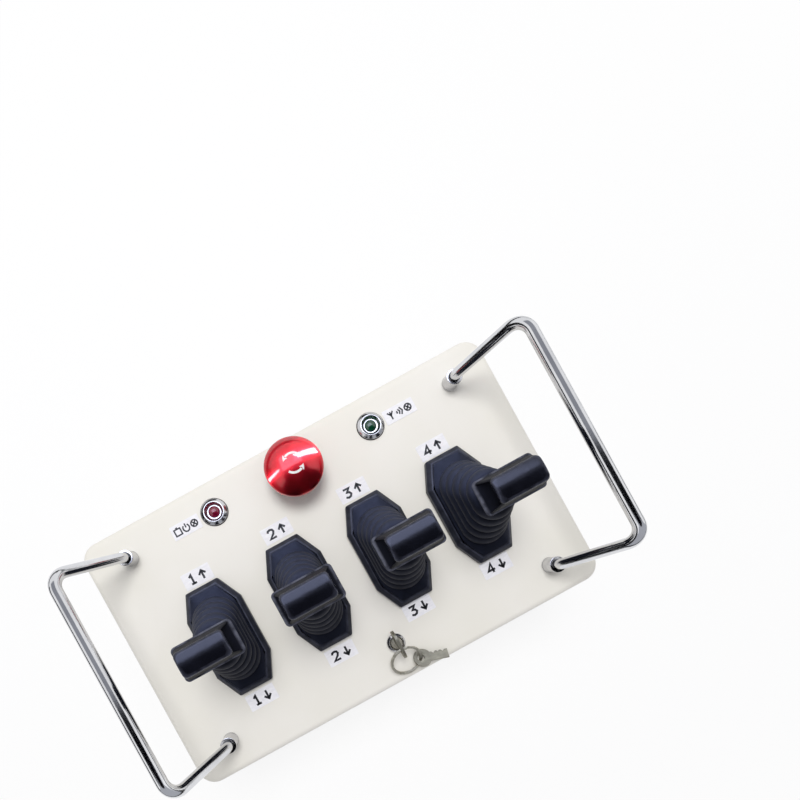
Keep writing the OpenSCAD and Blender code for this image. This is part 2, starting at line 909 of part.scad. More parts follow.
module estop_spring() {
  turns = 5;
  steps = 60;
  w = 0.6;
  r = estop_stem_d / 2 - 1.2;
  low = contact_floor + w + 0.1;
  high = stem_low - w - 0.1;
  color("#c3c7cb")
    translate([control_x, estop_y, 0])
      wire([
        for (k = [0:steps])
          let (a = 360 * turns * k / steps)
            [[r * cos(a), r * sin(a), mix(low, high, k / steps)], [0, 0, 1], [cos(a), sin(a), 0]]
      ], w);
}

// Lamps and key switch

module lamp_bezel(x) {
  color("#d5d8dc")
    translate([x, lamp_y, z_panel])
      difference() {
        union() {
          rotate_extrude($fn = 96)
            polygon([
              [0, 0], [lamp_d / 2, 0], [lamp_d / 2, lamp_cap_h * 0.45], [lamp_d / 2 - 1.1, lamp_cap_h],
              [lamp_d / 2 - 2, lamp_cap_h], [lens_d / 2 + 1.2, 0.9], [0, 0.9]
            ]);
          translate([0, 0, -lamp_shank_l])
            cylinder(d = lamp_shank_d, h = lamp_shank_l + 0.5);
        }
        translate([0, 0, -6])
          cylinder(d = lens_d + 2 * press_fit, h = 10);
      }
}

module lamp_lens(x, tint) {
  color(tint)
    translate([x, lamp_y, z_panel])
      union() {
        translate([0, 0, -6])
          cylinder(d = lens_d, h = 7.4);
        translate([0, 0, 1.4])
          intersection() {
            translate([0, 0, 2.2 - lens_d * 0.7])
              sphere(r = lens_d * 0.7, $fn = 64);
            cylinder(d = lens_d, h = 4);
          }
      }
}

module power_lamp_bezel() {
  lamp_bezel(control_x - lamp_x);
}

module power_lamp_lens() {
  lamp_lens(control_x - lamp_x, "#c81e1e");
}

module signal_lamp_bezel() {
  lamp_bezel(control_x + lamp_x);
}

module signal_lamp_lens() {
  lamp_lens(control_x + lamp_x, "#1e9e46");
}

module nut(bore, size, t) {
  translate([0, 0, z_under - t])
    difference() {
      cylinder(d = size, h = t, $fn = 6);
      translate([0, 0, -1])
        cylinder(d = bore + 2 * press_fit, h = t + 2);
    }
}

module panel_nuts() {
  color("#b9bdc2") {
    translate([control_x, estop_y, 0])
      nut(estop_shank_d, estop_shank_d + 10, estop_nut_t);
    for (s = [-1, 1])
      translate([control_x + s * lamp_x, lamp_y, 0])
        nut(lamp_shank_d, lamp_shank_d + 6, 4);
    translate([key_x, key_y, 0])
      nut(lock_shank_d, lock_shank_d + 6, 4);
  }
}

module key_lock_body() {
  color("#d5d8dc")
    translate([key_x, key_y, z_panel])
      difference() {
        union() {
          cylinder(d1 = lock_d, d2 = lock_d - 2, h = lock_h);
          translate([0, 0, -lock_depth])
            cylinder(d = lock_shank_d, h = lock_depth + 1);
        }
        translate([0, 0, 2 - lock_depth])
          cylinder(d = plug_d + 2 * run_fit, h = lock_depth + lock_h);
      }
}

module key_plug() {
  color("#b9a25a")
    translate([key_x, key_y, 0])
      difference() {
        translate([0, 0, z_panel - lock_depth + 2 + run_fit])
          cylinder(d = plug_d, h = plug_face - z_panel + lock_depth - 2 - run_fit);
        translate([-key_t / 2 - 0.05, -blade_w / 2 - 0.05, z_panel - key_in])
          cube([key_t + 0.1, blade_w + 0.1, 30]);
      }
}

// A circle drawn out to a long shape, from the origin to twice the slot
module long_circle(r, slot) {
  circle(r = r);
  if (slot > 0) {
    translate([2 * slot, 0])
      circle(r = r);
    translate([0, -r])
      square([2 * slot, 2 * r]);
  }
}

// A flat key in the plane of Y and Z, one end of its ring hole at the origin and its blade pointing down
module key_form(blade_l, slot) {
  rotate([90, 0, 90])
    translate([0, 0, -key_t / 2])
      linear_extrude(key_t)
        difference() {
          union() {
            translate([0, bow_z - bow_hole_z])
              long_circle(bow_r, slot);
            translate([slot - blade_w / 2, bow_z - bow_hole_z - bow_r - blade_l])
              square([blade_w, blade_l + 3]);
          }
          long_circle(bow_hole_r, slot);
          for (k = [1:3])
            translate([slot + blade_w / 2, bow_z - bow_hole_z - bow_r - blade_l + 3.4 * k])
              rotate(45)
                square(0.5 + 0.5 * (k % 2) + 0.9, center = true);
        }
}

module key() {
  color("#c9ccd0")
    translate([key_x, ring_y, bow_hole_z])
      key_form(plug_face - z_panel + key_in, bow_slot);
}

module key_ring() {
  color("#d5d8dc")
    translate([key_x, ring_y, bow_hole_z])
      rotate([ring_fall, 0, 0])
        translate([0, -ring_r, 0])
          rotate_extrude($fn = 96)
            translate([ring_r, 0])
              circle(d = ring_wire);
}

module spare_key() {
  color("#c9ccd0")
    translate(spare_at)
      rotate([-30, 0, 0])
        rotate([0, 9, 0])
          rotate([0, 0, -105])
            rotate([0, 90, 90])
              mirror([0, 0, 1])
                key_form(12, 0);
}

// Inside

module circuit_board() {
  color("#1f6b3a")
    difference() {
      union() {
        translate([board_x - board_w / 2, -board_d / 2, board_z])
          cube([board_w, board_d, board_t]);
        translate([board_x, 0, board_z + board_t / 2]) {
          translate([-board_w / 2 + 18, -20, 0])
            cube([34, 26, 5]);
          translate([4, -28, 0])
            cube([20, 20, 3.2]);
          translate([2, 10, 0])
            cube([44, 12, 9]);
          translate([board_w / 2 - 22, -24, 0])
            cylinder(d = aerial_d, h = aerial_h);
        }
      }
      translate([board_x, 0, board_z - 1])
        at_ends(board_post_x, board_post_y)
          cylinder(r = board_peg_r + press_fit, h = board_t + 2);
    }
}

module battery_pack() {
  color("#2f4d7a")
    translate([-battery_x, 0, z_floor + wall]) {
      linear_extrude(battery_h)
        hull()
          at_ends(battery_w / 2 - battery_r, battery_d / 2 - battery_r)
            circle(r = battery_r, $fn = 32);
      translate([-12, -6, battery_h - 1])
        cube([24, 12, 3]);
    }
}

for (i = [1:stick_count]) {
  bezel(i);
  boot(i);
  paddle(i);
  lever(i);
  pivot_pin(i);
  joystick_frame(i);
  centring_spring(i);
  sensor(i);
}
top_shell();
bottom_shell();
seam_gasket();
rubber_feet();
shell_screws();
left_handle();
right_handle();
handle_ferrules();
handle_screws();
joystick_screws();
estop_head();
estop_stem();
estop_body();
estop_contact_block();
estop_spring();
power_lamp_bezel();
power_lamp_lens();
signal_lamp_bezel();
signal_lamp_lens();
panel_nuts();
key_lock_body();
key_plug();
key();
key_ring();
spare_key();
circuit_board();
battery_pack();
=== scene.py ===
"""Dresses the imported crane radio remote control: surfaces, finishes, light and camera.

Shapes are worked out in millimetres and put into the meshes in metres. Places come from the frame's node boxes.
"""

import json
import logging
import math
from dataclasses import dataclass, field
from enum import Enum

import bpy
import numpy as np
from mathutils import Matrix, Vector


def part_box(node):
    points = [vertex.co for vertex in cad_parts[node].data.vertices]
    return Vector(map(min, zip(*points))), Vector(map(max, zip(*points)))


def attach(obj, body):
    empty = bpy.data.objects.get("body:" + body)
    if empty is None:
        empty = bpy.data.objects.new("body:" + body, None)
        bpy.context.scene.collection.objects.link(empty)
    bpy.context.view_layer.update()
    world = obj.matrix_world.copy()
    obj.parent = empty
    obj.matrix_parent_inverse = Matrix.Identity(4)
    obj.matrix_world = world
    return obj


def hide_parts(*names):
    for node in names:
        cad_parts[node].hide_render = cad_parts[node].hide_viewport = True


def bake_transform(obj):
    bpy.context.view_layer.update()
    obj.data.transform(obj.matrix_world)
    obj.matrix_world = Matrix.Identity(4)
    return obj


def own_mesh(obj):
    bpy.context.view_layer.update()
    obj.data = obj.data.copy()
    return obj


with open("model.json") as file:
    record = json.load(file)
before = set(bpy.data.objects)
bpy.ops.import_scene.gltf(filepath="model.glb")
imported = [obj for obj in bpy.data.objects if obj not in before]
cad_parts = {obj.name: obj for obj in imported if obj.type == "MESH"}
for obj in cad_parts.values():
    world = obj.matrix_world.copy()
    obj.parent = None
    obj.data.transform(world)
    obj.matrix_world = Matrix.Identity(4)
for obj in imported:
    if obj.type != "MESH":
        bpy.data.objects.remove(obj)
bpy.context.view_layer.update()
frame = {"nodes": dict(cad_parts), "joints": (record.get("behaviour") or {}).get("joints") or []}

Array = np.ndarray
Pair = tuple[float, float]
Tree = bpy.types.NodeTree
Socket = bpy.types.NodeSocket
LOG = logging.getLogger("remote_control")
HOUSING = "housing"
LEVERS = (1, 2, 3, 4)
MM = 0.001
UM = 0.000001
QUARTER = np.pi / 2
Z_AXIS = np.array([0, 0, 1.0])
# Part of a side that a softened corner may use, just under half
SIDE_SHARE = 0.48
# Least cosine of half a bend that a strip's mitre follows
MITRE_LIMIT = 0.45
# Part of a ring's half width that its corner radius may take
CORNER_SHARE = 0.6
# Keeps a division away from zero
TINY = 1e-6


# Surfaces


@dataclass
class Skin:
    """A closed skin: points, four-sided and three-sided faces, map corners and a weight for each point that paints
    edges paler as wear and highlight.
    """

    points: Array
    quads: Array
    quad_uv: Array
    tris: Array
    tri_uv: Array
    wear_and_highlight_weight: Array


def close_grid(grid: Array, wear_and_highlight_weight: Array | None = None, loop_rows: bool = False) -> Skin:
    """Turns a grid of points into a closed skin.

    The columns run round and meet. The rows meet too when they loop, as on a ring. Otherwise the first and the
    last row each end in a fan to the mean of their points. A skin of negative volume has its faces turned over.

    Args:
        grid: Points as rows, columns and X, Y, Z.
        wear_and_highlight_weight: Weight from 0 to 1 for each row, for edges painted paler as wear and highlight.
        loop_rows: True for a ring-shaped skin.

    Returns:
        The closed skin.
    """
    rows, cols = grid.shape[:2]
    index = np.arange(rows * cols).reshape(rows, cols)
    low = index if loop_rows else index[:-1]
    high = np.roll(index, -1, 0) if loop_rows else index[1:]
    quads = np.stack([low, np.roll(low, -1, 1), np.roll(high, -1, 1), high], -1).reshape(-1, 4)
    step = np.arange(cols) / cols
    u, v = np.meshgrid(step, np.arange(len(low)) / len(low))
    du, dv = 1 / cols, 1 / len(low)
    corners = [(u, v), (u + du, v), (u + du, v + dv), (u, v + dv)]
    quad_uv = np.stack([np.stack(c, -1) for c in corners], 2).reshape(-1, 4, 2)
    points = grid.reshape(-1, 3)
    weight = np.repeat(np.zeros(rows) if wear_and_highlight_weight is None else np.asarray(wear_and_highlight_weight, float), cols)
    tris, tri_uv = np.zeros((0, 3), int), np.zeros((0, 3, 2))
    if not loop_rows:
        foot = np.stack([np.roll(index[0], -1), index[0], np.full(cols, len(points))], -1)
        crown = np.stack([index[-1], np.roll(index[-1], -1), np.full(cols, len(points) + 1)], -1)
        tris = np.vstack([foot, crown])
        mid = step + du / 2
        fan_u = np.vstack([np.stack([step + du, step, mid], -1), np.stack([step, step + du, mid], -1)])
        fan_v = np.repeat([0.0, 1.0], cols)[:, None] + 0 * fan_u
        tri_uv = np.stack([fan_u, fan_v], -1)
        points = np.vstack([points, grid[0].mean(0), grid[-1].mean(0)])
        weight = np.append(weight, [weight[0], weight[-1]])
    skin = Skin(points, quads, quad_uv, tris, tri_uv, weight)
    if volume(skin) < 0:
        skin.quads, skin.quad_uv = skin.quads[:, ::-1], skin.quad_uv[:, ::-1]
        skin.tris, skin.tri_uv = skin.tris[:, ::-1], skin.tri_uv[:, ::-1]
    return skin


def volume(skin: Skin) -> float:
    """Sums the signed volumes of the wedges from the skin's own middle to each face.

    Args:
        skin: The skin.

    Returns:
        The volume, negative where the faces point inwards.
    """
    p = skin.points - skin.points.mean(0)
    faces = np.vstack([skin.quads[:, [0, 1, 2]], skin.quads[:, [0, 2, 3]], skin.tris])
    a, b, c = p[faces[:, 0]], p[faces[:, 1]], p[faces[:, 2]]
    return float(np.einsum("ij,ij->i", a, np.cross(b, c)).sum() / 6)


def gather(skins: list[Skin]) -> Skin:
    """Puts several skins into one, with the point numbers of each moved past the ones before it.

    Args:
        skins: The skins in order.

    Returns:
        The joined skin.
    """
    starts = np.cumsum([0] + [len(s.points) for s in skins[:-1]])
    return Skin(
        np.vstack([s.points for s in skins]),
        np.vstack([s.quads + k for s, k in zip(skins, starts)]),
        np.vstack([s.quad_uv for s in skins]),
        np.vstack([s.tris + k for s, k in zip(skins, starts)]),
        np.vstack([s.tri_uv for s in skins]),
        np.concatenate([s.wear_and_highlight_weight for s in skins]),
    )


def unit(ways: Array) -> Array:
    """Brings directions to length one."""
    return ways / np.linalg.norm(ways, axis=-1, keepdims=True)


def compass(angle: Array) -> Array:
    """Gives the direction in X and Y at each angle, its cosine and its sine."""
    return np.stack([np.cos(angle), np.sin(angle)], -1)


def round_angles(count: int) -> Array:
    """Gives even angles once round."""
    return np.linspace(0, 2 * np.pi, count, endpoint=False)


def raise_rings(plan: Array, height: Array) -> Array:
    """Gives rings of X and Y their Z, one for each ring or one for each point."""
    z = np.broadcast_to(height.reshape(len(plan), -1), plan.shape[:2])
    return np.concatenate([plan, z[..., None]], -1)


def soften(profile: Array | list, radius: float, steps: int = 5) -> Array:
    """Rounds the inner corners of an open profile.

    Each corner gives way to a parabola that leaves its two sides at the radius, or near half the side if that is less.

    Args:
        profile: Points of the profile in order, two numbers each.
        radius: Distance from a corner at which its curve starts.
        steps: Points in each curve.

    Returns:
        The longer profile.
    """
    profile = np.asarray(profile, float)
    here = profile[1:-1]
    to_back, to_ahead = profile[:-2] - here, profile[2:] - here
    l0 = np.linalg.norm(to_back, axis=1, keepdims=True)
    l1 = np.linalg.norm(to_ahead, axis=1, keepdims=True)
    start = here + to_back / l0 * np.minimum(radius, l0 * SIDE_SHARE)
    end = here + to_ahead / l1 * np.minimum(radius, l1 * SIDE_SHARE)
    t = np.linspace(0, 1, steps)[None, :, None]
    curve = (1 - t) ** 2 * start[:, None] + 2 * t * (1 - t) * here[:, None] + t**2 * end[:, None]
    return np.vstack([profile[:1], curve.reshape(-1, 2), profile[-1:]])


def dome_profile(ball: float, rim: float, top: float, tip: float, count: int) -> Array:
    """Draws a dome's radius and height from rim to tip: a sphere's radius times sine and cosine from its axis."""
    t = np.linspace(math.asin(rim / ball), tip, count)
    return np.stack([ball * np.sin(t), top - ball + ball * np.cos(t)], -1)


def turn(profile: Array, x: float, y: float, count: int) -> Array:
    """Revolves a profile of radius and height about an upright axis.

    A point is the axis plus the radius times the cosine and sine of the column's angle, at the profile's height.

    Args:
        profile: Radius and height of each row.
        x: Axis place across.
        y: Axis place along.
        count: Columns round the axis.

    Returns:
        The grid of points.
    """
    a = round_angles(count)
    r, z = profile[:, :1], profile[:, 1:]
    return np.stack([x + r * np.cos(a), y + r * np.sin(a), z + 0 * a], -1)


def turn_four(profile: Array, x: float, y: float, count: int) -> Skin:
    """Turns one profile at four corners, at plus and minus X and Y."""
    return gather([close_grid(turn(profile, i * x, j * y, count)) for i in (-1, 1) for j in (-1, 1)])


def sweep(path: Array, tangent: Array, side_of: Array, radius: float | Array, count: int, flat: float = 1.0) -> Array:
    """Carries a circle or a flattened circle along a path.

    The circle's first axis is the cross product of the tangent and a direction that the path never takes, and its
    second axis is the cross product of the first and the tangent.

    Args:
        path: Points of the middle line.
        tangent: Unit direction of the line at each point.
        side_of: The direction that the path never takes.
        radius: Radius of the circle, the same all along or one for each point.
        count: Columns round the circle.
        flat: Second axis as a part of the first.

    Returns:
        The grid of points.
    """
    side = unit(np.cross(tangent, side_of))
    up = np.cross(side, tangent)
    a = round_angles(count)[None, :, None]
    ring = np.cos(a) * side[:, None] + np.sin(a) * flat * up[:, None]
    return path[:, None] + np.reshape(radius, (-1, 1, 1)) * ring


def lay_strip(path: Array, half: float, top: float, base: float) -> Array:
    """Lays a flat strip of rectangular section along a line on the panel.

    Each station has four points: the line plus and minus its mitred normal times the half width, low and high.

    Args:
        path: Points of the line, two numbers each.
        half: Half width of the strip.
        top: Height of the strip's face.
        base: Height of its underside.

    Returns:
        The grid of points, four columns wide.
    """
    step = unit(np.diff(path, axis=0))
    before, after = np.vstack([step[:1], step]), np.vstack([step, step[-1:]])
    quarter_turn = np.array([[0, 1], [-1, 0]])
    normal = unit(before + after) @ quarter_turn
    stretch = 1 / np.clip(np.einsum("ij,ij->i", normal, before @ quarter_turn), MITRE_LIMIT, 1)
    reach = normal * (half * stretch)[:, None]
    corners = np.stack([path + reach, path + reach, path - reach, path - reach], 1)
    return raise_rings(corners, np.tile([base, top, top, base], (len(path), 1)))


def rounded_rings(half_w: Array, half_d: Array, radius: float, side: int, corner: int = 9) -> Array:
    """Draws rounded rectangles with even points along each side.

    Corners are quarter circles of the radius. Sides run straight between them.

    Args:
        half_w: Half width of each ring.
        half_d: Half depth of each ring.
        radius: Corner radius, less on a small ring.
        side: Points along each side.
        corner: Points round each corner.

    Returns:
        Rings of X and Y.
    """
    r = np.minimum(radius, CORNER_SHARE * np.minimum(half_w, half_d))[:, None]
    a, b = half_w[:, None] - r, half_d[:, None] - r
    q = np.linspace(0, QUARTER, corner)
    s = np.linspace(1, -1, side + 2)[1:-1]
    parts = [
        (a + r * np.cos(q), b + r * np.sin(q)), (a * s, b + r + 0 * s),
        (-a - r * np.sin(q), b + r * np.cos(q)), (-a - r + 0 * s, b * s),
        (-a - r * np.cos(q), -b - r * np.sin(q)), (-a * s, -b - r + 0 * s),
        (a + r * np.sin(q), -b - r * np.cos(q)), (a + r + 0 * s, -b * s),
    ]
    return np.stack([np.hstack([p[0] for p in parts]), np.hstack([p[1] for p in parts])], -1)


# Places in the frame


def span(node: str) -> tuple[Array, Array]:
    """Gives a CAD node's lowest and highest corner in millimetres."""
    low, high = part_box(node)
    return np.array(low) / MM, np.array(high) / MM


def middle(node: str) -> Array:
    """Gives the middle of a CAD node's box in X and Y, in millimetres."""
    low, high = span(node)
    return ((low + high) / 2)[:2]


def round_node(node: str) -> tuple[float, float, float, float, float]:
    """Gives a round CAD node's axis in X and Y, its radius, and its lowest and highest Z, in millimetres."""
    low, high = span(node)
    return *middle(node), (high - low)[0] / 2, low[2], high[2]


def panel_height() -> float:
    """Gives the height of the panel's face, on which the bezels stand, in millimetres."""
    return float(span("bezel_1")[0][2])


# Finishes


class Grain(Enum):
    """The kind of fine relief on a surface."""

    SOFT = "noise"
    CELLS = "voronoi"


# Parts of a noise's range that are drawn out for colour clouds, for smears in the gloss and for patches of painted wear
# and highlight
CLOUD_RANGE = {"From Min": 0.35, "From Max": 0.7}
SMEAR_RANGE = {"From Min": 0.3, "From Max": 0.7}
PATCH_RANGE = {"From Min": 0.25, "From Max": 0.6}
PATCH_MM = 5
COAT_ROUGHNESS = 0.08
LATHE_TURN = 0.25


def linear(code: str) -> tuple[float, float, float, float]:
    """Turns an sRGB hex colour into a linear one by the standard's curve.

    Args:
        code: The colour, such as #ffffff.

    Returns:
        Linear red, green, blue and alpha.
    """
    value = np.array([int(code[i:i + 2], 16) for i in (1, 3, 5)]) / 255
    flat = np.where(value <= 0.04045, value / 12.92, ((value + 0.055) / 1.055) ** 2.4)
    return (*flat.tolist(), 1.0)


def add_node(tree: Tree, kind: str, inputs: dict | None = None, **settings: object) -> bpy.types.Node:
    """Adds a node to a tree.

    Args:
        tree: The tree that takes the node.
        kind: Blender's name for the node.
        inputs: For each input socket, a socket to link from or a value to set.
        settings: The node's own properties.

    Returns:
        The new node.
    """
    node = tree.nodes.new(kind)
    for name, value in settings.items():
        setattr(node, name, value)
    for key, value in (inputs or {}).items():
        if isinstance(value, Socket):
            tree.links.new(value, node.inputs[key])
        else:
            node.inputs[key].default_value = value
    return node


def fresh_material(name: str) -> tuple[bpy.types.Material, Tree]:
    """Makes a material with an empty tree of nodes.

    Args:
        name: Name of the material.

    Returns:
        The material and its tree.
    """
    material = bpy.data.materials.new(name)
    material.use_nodes = True
    material.node_tree.nodes.clear()
    return material, material.node_tree


@dataclass(frozen=True)
class Finish:
    """One real surface: two colours that drift into each other, a roughness that varies, and a fine relief.

    Attributes:
        name: What the material is and how its surface was made.
        colour: Main colour.
        shade: Colour that the clouds drift to.
        roughness: Lowest and highest roughness.
        metallic: 1 for bare metal.
        cloud_mm: Size of the colour clouds.
        grain_mm: Size of the relief.
        grain: Kind of the relief.
        bump_um: Height of the relief in thousandths of a millimetre.
        stretch: Scale of the pattern along X, Y and Z, for drawn or turned lines.
        coat: Weight of a clear coat.
        anisotropy: How far highlights are drawn out across the lathe lines.
        wear_and_highlight: Colour of rubbed edges and painted edge highlights, or nothing.
        sheen: Weight of the dusty sheen.
        specular: Weight of the mirror part on plastics.
        tint: Colour of that mirror part.
    """

    name: str
    colour: str
    shade: str
    roughness: Pair
    metallic: float = 0.0
    cloud_mm: float = 30.0
    grain_mm: float = 1.0
    grain: Grain = Grain.SOFT
    bump_um: float = 10.0
    stretch: tuple[float, float, float] = (1.0, 1.0, 1.0)
    coat: float = 0.0
    anisotropy: float = 0.0
    wear_and_highlight: str = ""
    sheen: float = 0.0
    specular: float = 0.5
    tint: str = "#ffffff"

    def make(self) -> bpy.types.Material:
        """Builds the material, or gives the one that was built before.

        Returns:
            The material with its nodes.
        """
        made = bpy.data.materials.get(self.name)
        if made:
            return made
        material, tree = fresh_material(self.name)
        cloud = self.cloud_mm * MM
        place = add_node(tree, "ShaderNodeTexCoord").outputs["Object"]
        place = add_node(tree, "ShaderNodeMapping", {"Vector": place, "Scale": self.stretch}).outputs["Vector"]
        clouds = add_node(tree, "ShaderNodeTexNoise", {"Vector": place, "Scale": 1 / cloud, "Detail": 4.0})
        drift = add_node(tree, "ShaderNodeMapRange", {"Value": clouds.outputs["Fac"], **CLOUD_RANGE})
        colour = add_node(tree, "ShaderNodeMix", {
            "Factor": drift.outputs["Result"], "A": linear(self.colour), "B": linear(self.shade),
        }, data_type="RGBA").outputs["Result"]
        smears = add_node(tree, "ShaderNodeTexNoise", {"Vector": place, "Scale": 3 / cloud, "Detail": 6.0})
        rough = add_node(tree, "ShaderNodeMapRange", {
            "Value": smears.outputs["Fac"], **SMEAR_RANGE, "To Min": self.roughness[0], "To Max": self.roughness[1],
        })
        # Edges are painted paler here, as rubbed wear and as a painted highlight
        if self.wear_and_highlight:
            colour = self.paint_wear_and_highlight(tree, place, colour)
        relief = self.relief(tree, place)
        bump = add_node(tree, "ShaderNodeBump", {"Height": relief, "Distance": self.bump_um * UM, "Strength": 1.0})
        inputs = {
            "Base Color": colour, "Roughness": rough.outputs["Result"], "Normal": bump.outputs["Normal"],
            "Metallic": self.metallic, "Coat Weight": self.coat, "Coat Roughness": COAT_ROUGHNESS,
            "Sheen Weight": self.sheen, "Specular IOR Level": self.specular, "Specular Tint": linear(self.tint),
        }
        if self.anisotropy:
            around = add_node(tree, "ShaderNodeTangent", direction_type="UV_MAP", uv_map="UVMap")
            inputs["Tangent"] = around.outputs["Tangent"]
            inputs |= {"Anisotropic": self.anisotropy, "Anisotropic Rotation": LATHE_TURN}
        shader = add_node(tree, "ShaderNodeBsdfPrincipled", inputs)
        add_node(tree, "ShaderNodeOutputMaterial", {"Surface": shader.outputs["BSDF"]})
        return material

    def relief(self, tree: Tree, place: Socket) -> Socket:
        """Adds the fine relief.

        Args:
            tree: The material's tree.
            place: Pattern coordinates.

        Returns:
            The socket with its height.
        """
        scale = 1 / (self.grain_mm * MM)
        if self.grain is Grain.CELLS:
            return add_node(tree, "ShaderNodeTexVoronoi", {"Vector": place, "Scale": scale}).outputs["Distance"]
        return add_node(tree, "ShaderNodeTexNoise", {"Vector": place, "Scale": scale, "Detail": 2.0}).outputs["Fac"]

    def paint_wear_and_highlight(self, tree: Tree, place: Socket, colour: Socket) -> Socket:
        """Mixes the paler colour of wear and painted highlight in where its weight is high and a noise breaks it up.

        Args:
            tree: The material's tree.
            place: Pattern coordinates.
            colour: The colour before the painted wear and highlight.

        Returns:
            The colour with the painted wear and highlight.
        """
        weight = add_node(tree, "ShaderNodeAttribute", attribute_name="wear_and_highlight_weight").outputs["Fac"]
        noise = add_node(tree, "ShaderNodeTexNoise", {"Vector": place, "Scale": 1 / (PATCH_MM * MM), "Detail": 5.0})
        patches = add_node(tree, "ShaderNodeMapRange", {"Value": noise.outputs["Fac"], **PATCH_RANGE})
        amount = add_node(tree, "ShaderNodeMath", {0: weight, 1: patches.outputs["Result"]}, operation="MULTIPLY")
        return add_node(tree, "ShaderNodeMix", {
            "Factor": amount.outputs["Value"], "A": colour, "B": linear(self.wear_and_highlight),
        }, data_type="RGBA").outputs["Result"]


# Sprayed enamel on a moulded shell: a smooth gloss with a faint dimpled skin, drawn coarser than life to show
ENAMEL = Finish("cream_sprayed_enamel", "#e8e5de", "#e3e0d6", (0.36, 0.46), cloud_mm=90, grain_mm=2.4, bump_um=6,
                specular=0.3)
# Moulded ABS from a sparked tool: a satin grain, and edges painted paler as wear and as a highlight
BEZEL = Finish("black_sparked_abs", "#0a0b10", "#0f1017", (0.36, 0.46), cloud_mm=14, grain_mm=0.9, grain=Grain.CELLS,
               bump_um=10, wear_and_highlight="#3c3e4a", tint="#dde3ff")
# Moulded chloroprene rubber: a dull sheen and a faintly paler tone on the fold crests and round the flange's lip
BOOT = Finish("black_chloroprene_rubber", "#0d0f16", "#13151d", (0.54, 0.64), cloud_mm=9, grain_mm=0.8, bump_um=8,
              wear_and_highlight="#14161d", tint="#aeb8e4")
# Moulded nylon body of the paddle: matt flanks, and rims painted paler as hand wear and as a highlight
PADDLE = Finish("black_matt_nylon", "#0c0d13", "#12131a", (0.5, 0.62), cloud_mm=8, grain_mm=0.9, grain=Grain.CELLS,
                bump_um=12, wear_and_highlight="#5c5e6a", specular=0.12, tint="#c4ccf0")
# Polished nylon face of the paddle: a wet-looking black, with a band under its rolled edge painted paler as wear and as
# a highlight
FACE = Finish("black_polished_nylon", "#0b0c12", "#11121a", (0.16, 0.22), cloud_mm=12, grain_mm=1.6, bump_um=3,
              wear_and_highlight="#3c3e4a", tint="#dde3ff")
# Buffed chrome on steel rod: nearly a mirror, with faint smears
CHROME = Finish("buffed_chrome_plate", "#dfe0e3", "#cfd0d4", (0.09, 0.15), metallic=1, cloud_mm=18, grain_mm=1.2,
                bump_um=2)
# Chrome on turned brass fittings: a little duller than the rods
FITTING = Finish("turned_chrome_fitting", "#d8d8da", "#c2c2c6", (0.1, 0.2), metallic=1, cloud_mm=6, grain_mm=0.7,
                 bump_um=4)
# Dyed and anodised aluminium, turned on a lathe: highlights fan out from the middle
DYED = Finish("red_dyed_turned_aluminium", "#cc2230", "#c01c2a", (0.3, 0.36), metallic=1, cloud_mm=8, grain_mm=0.7,
              bump_um=0.1, anisotropy=0.7, coat=1.0)
# Screen-print ink: thin and slightly broken
WHITE_INK = Finish("white_screen_ink", "#f2eeee", "#e6dfe0", (0.4, 0.55), cloud_mm=3, grain_mm=0.4, bump_um=6)
# Laser toner: a soft black with a slight gloss
BLACK_INK = Finish("black_laser_toner", "#17171b", "#26262c", (0.35, 0.5), cloud_mm=2, grain_mm=0.4, bump_um=5)
# Uncoated label paper: matt with short fibres
PAPER = Finish("white_label_paper", "#f1f0f3", "#e6e5ea", (0.55, 0.7), cloud_mm=5, grain_mm=0.6, bump_um=14,
               stretch=(1, 2.5, 1))
# Clear acrylic, dyed through and moulded: dark inside, wet on top
RED_LENS = Finish("red_dyed_acrylic", "#5a0a22", "#8e1a40", (0.06, 0.12), cloud_mm=3, grain_mm=1.1, bump_um=10,
                  coat=0.8)
GREEN_LENS = Finish("green_dyed_acrylic", "#07301f", "#0c4a33", (0.06, 0.12), cloud_mm=3, grain_mm=1.1, bump_um=10,
                    coat=0.8)
# Moulded black nylon of the button's collar and stem and the lever frames: a fine satin grain
COLLAR = Finish("black_moulded_nylon", "#1a1b20", "#24262c", (0.4, 0.55), cloud_mm=10, grain_mm=0.8, grain=Grain.CELLS,
                bump_um=16)
# Moulded rubber of feet, plugs, washers and seam: matt and dusty
FOOT = Finish("black_moulded_rubber", "#161617", "#232324", (0.6, 0.75), cloud_mm=8, grain_mm=0.6, bump_um=20,
              sheen=0.15)
# Nickel on stamped brass, dulled by pockets: warm grey with the brass starting to show
NICKEL = Finish("nickel_plated_key", "#989585", "#827e72", (0.42, 0.54), metallic=1, cloud_mm=5, grain_mm=0.5,
                bump_um=6, stretch=(1, 1, 4))
# Nickel on flat spring wire: scuffed along its turns
SPRING = Finish("nickel_plated_spring_wire", "#ccc8ba", "#a8a394", (0.26, 0.4), metallic=1, cloud_mm=2, grain_mm=0.5,
                bump_um=5)
# Turned brass under thin nickel: pale and soft
BRASS = Finish("nickelled_brass_plug", "#d2ccbc", "#c2baa4", (0.48, 0.58), metallic=1, cloud_mm=4, grain_mm=0.4,
               bump_um=5)
# Zinc on steel screws and nuts: a cool, slightly cloudy grey
ZINC = Finish("zinc_plated_steel", "#b7bac0", "#a3a6a8", (0.28, 0.42), metallic=1, cloud_mm=4, grain_mm=0.5, bump_um=6)
# Turned bright steel of levers and pins: fine lines round the axis
STEEL = Finish("turned_bright_steel", "#a9acb1", "#94979c", (0.25, 0.38), metallic=1, cloud_mm=7, grain_mm=0.5,
               bump_um=6, stretch=(1, 1, 6))
# Drawn spring wire: bright, with lines along the wire
WIRE = Finish("drawn_spring_wire", "#b9bcc0", "#9fa2a6", (0.22, 0.34), metallic=1, cloud_mm=3, grain_mm=0.3, bump_um=4,
              stretch=(4, 1, 1))
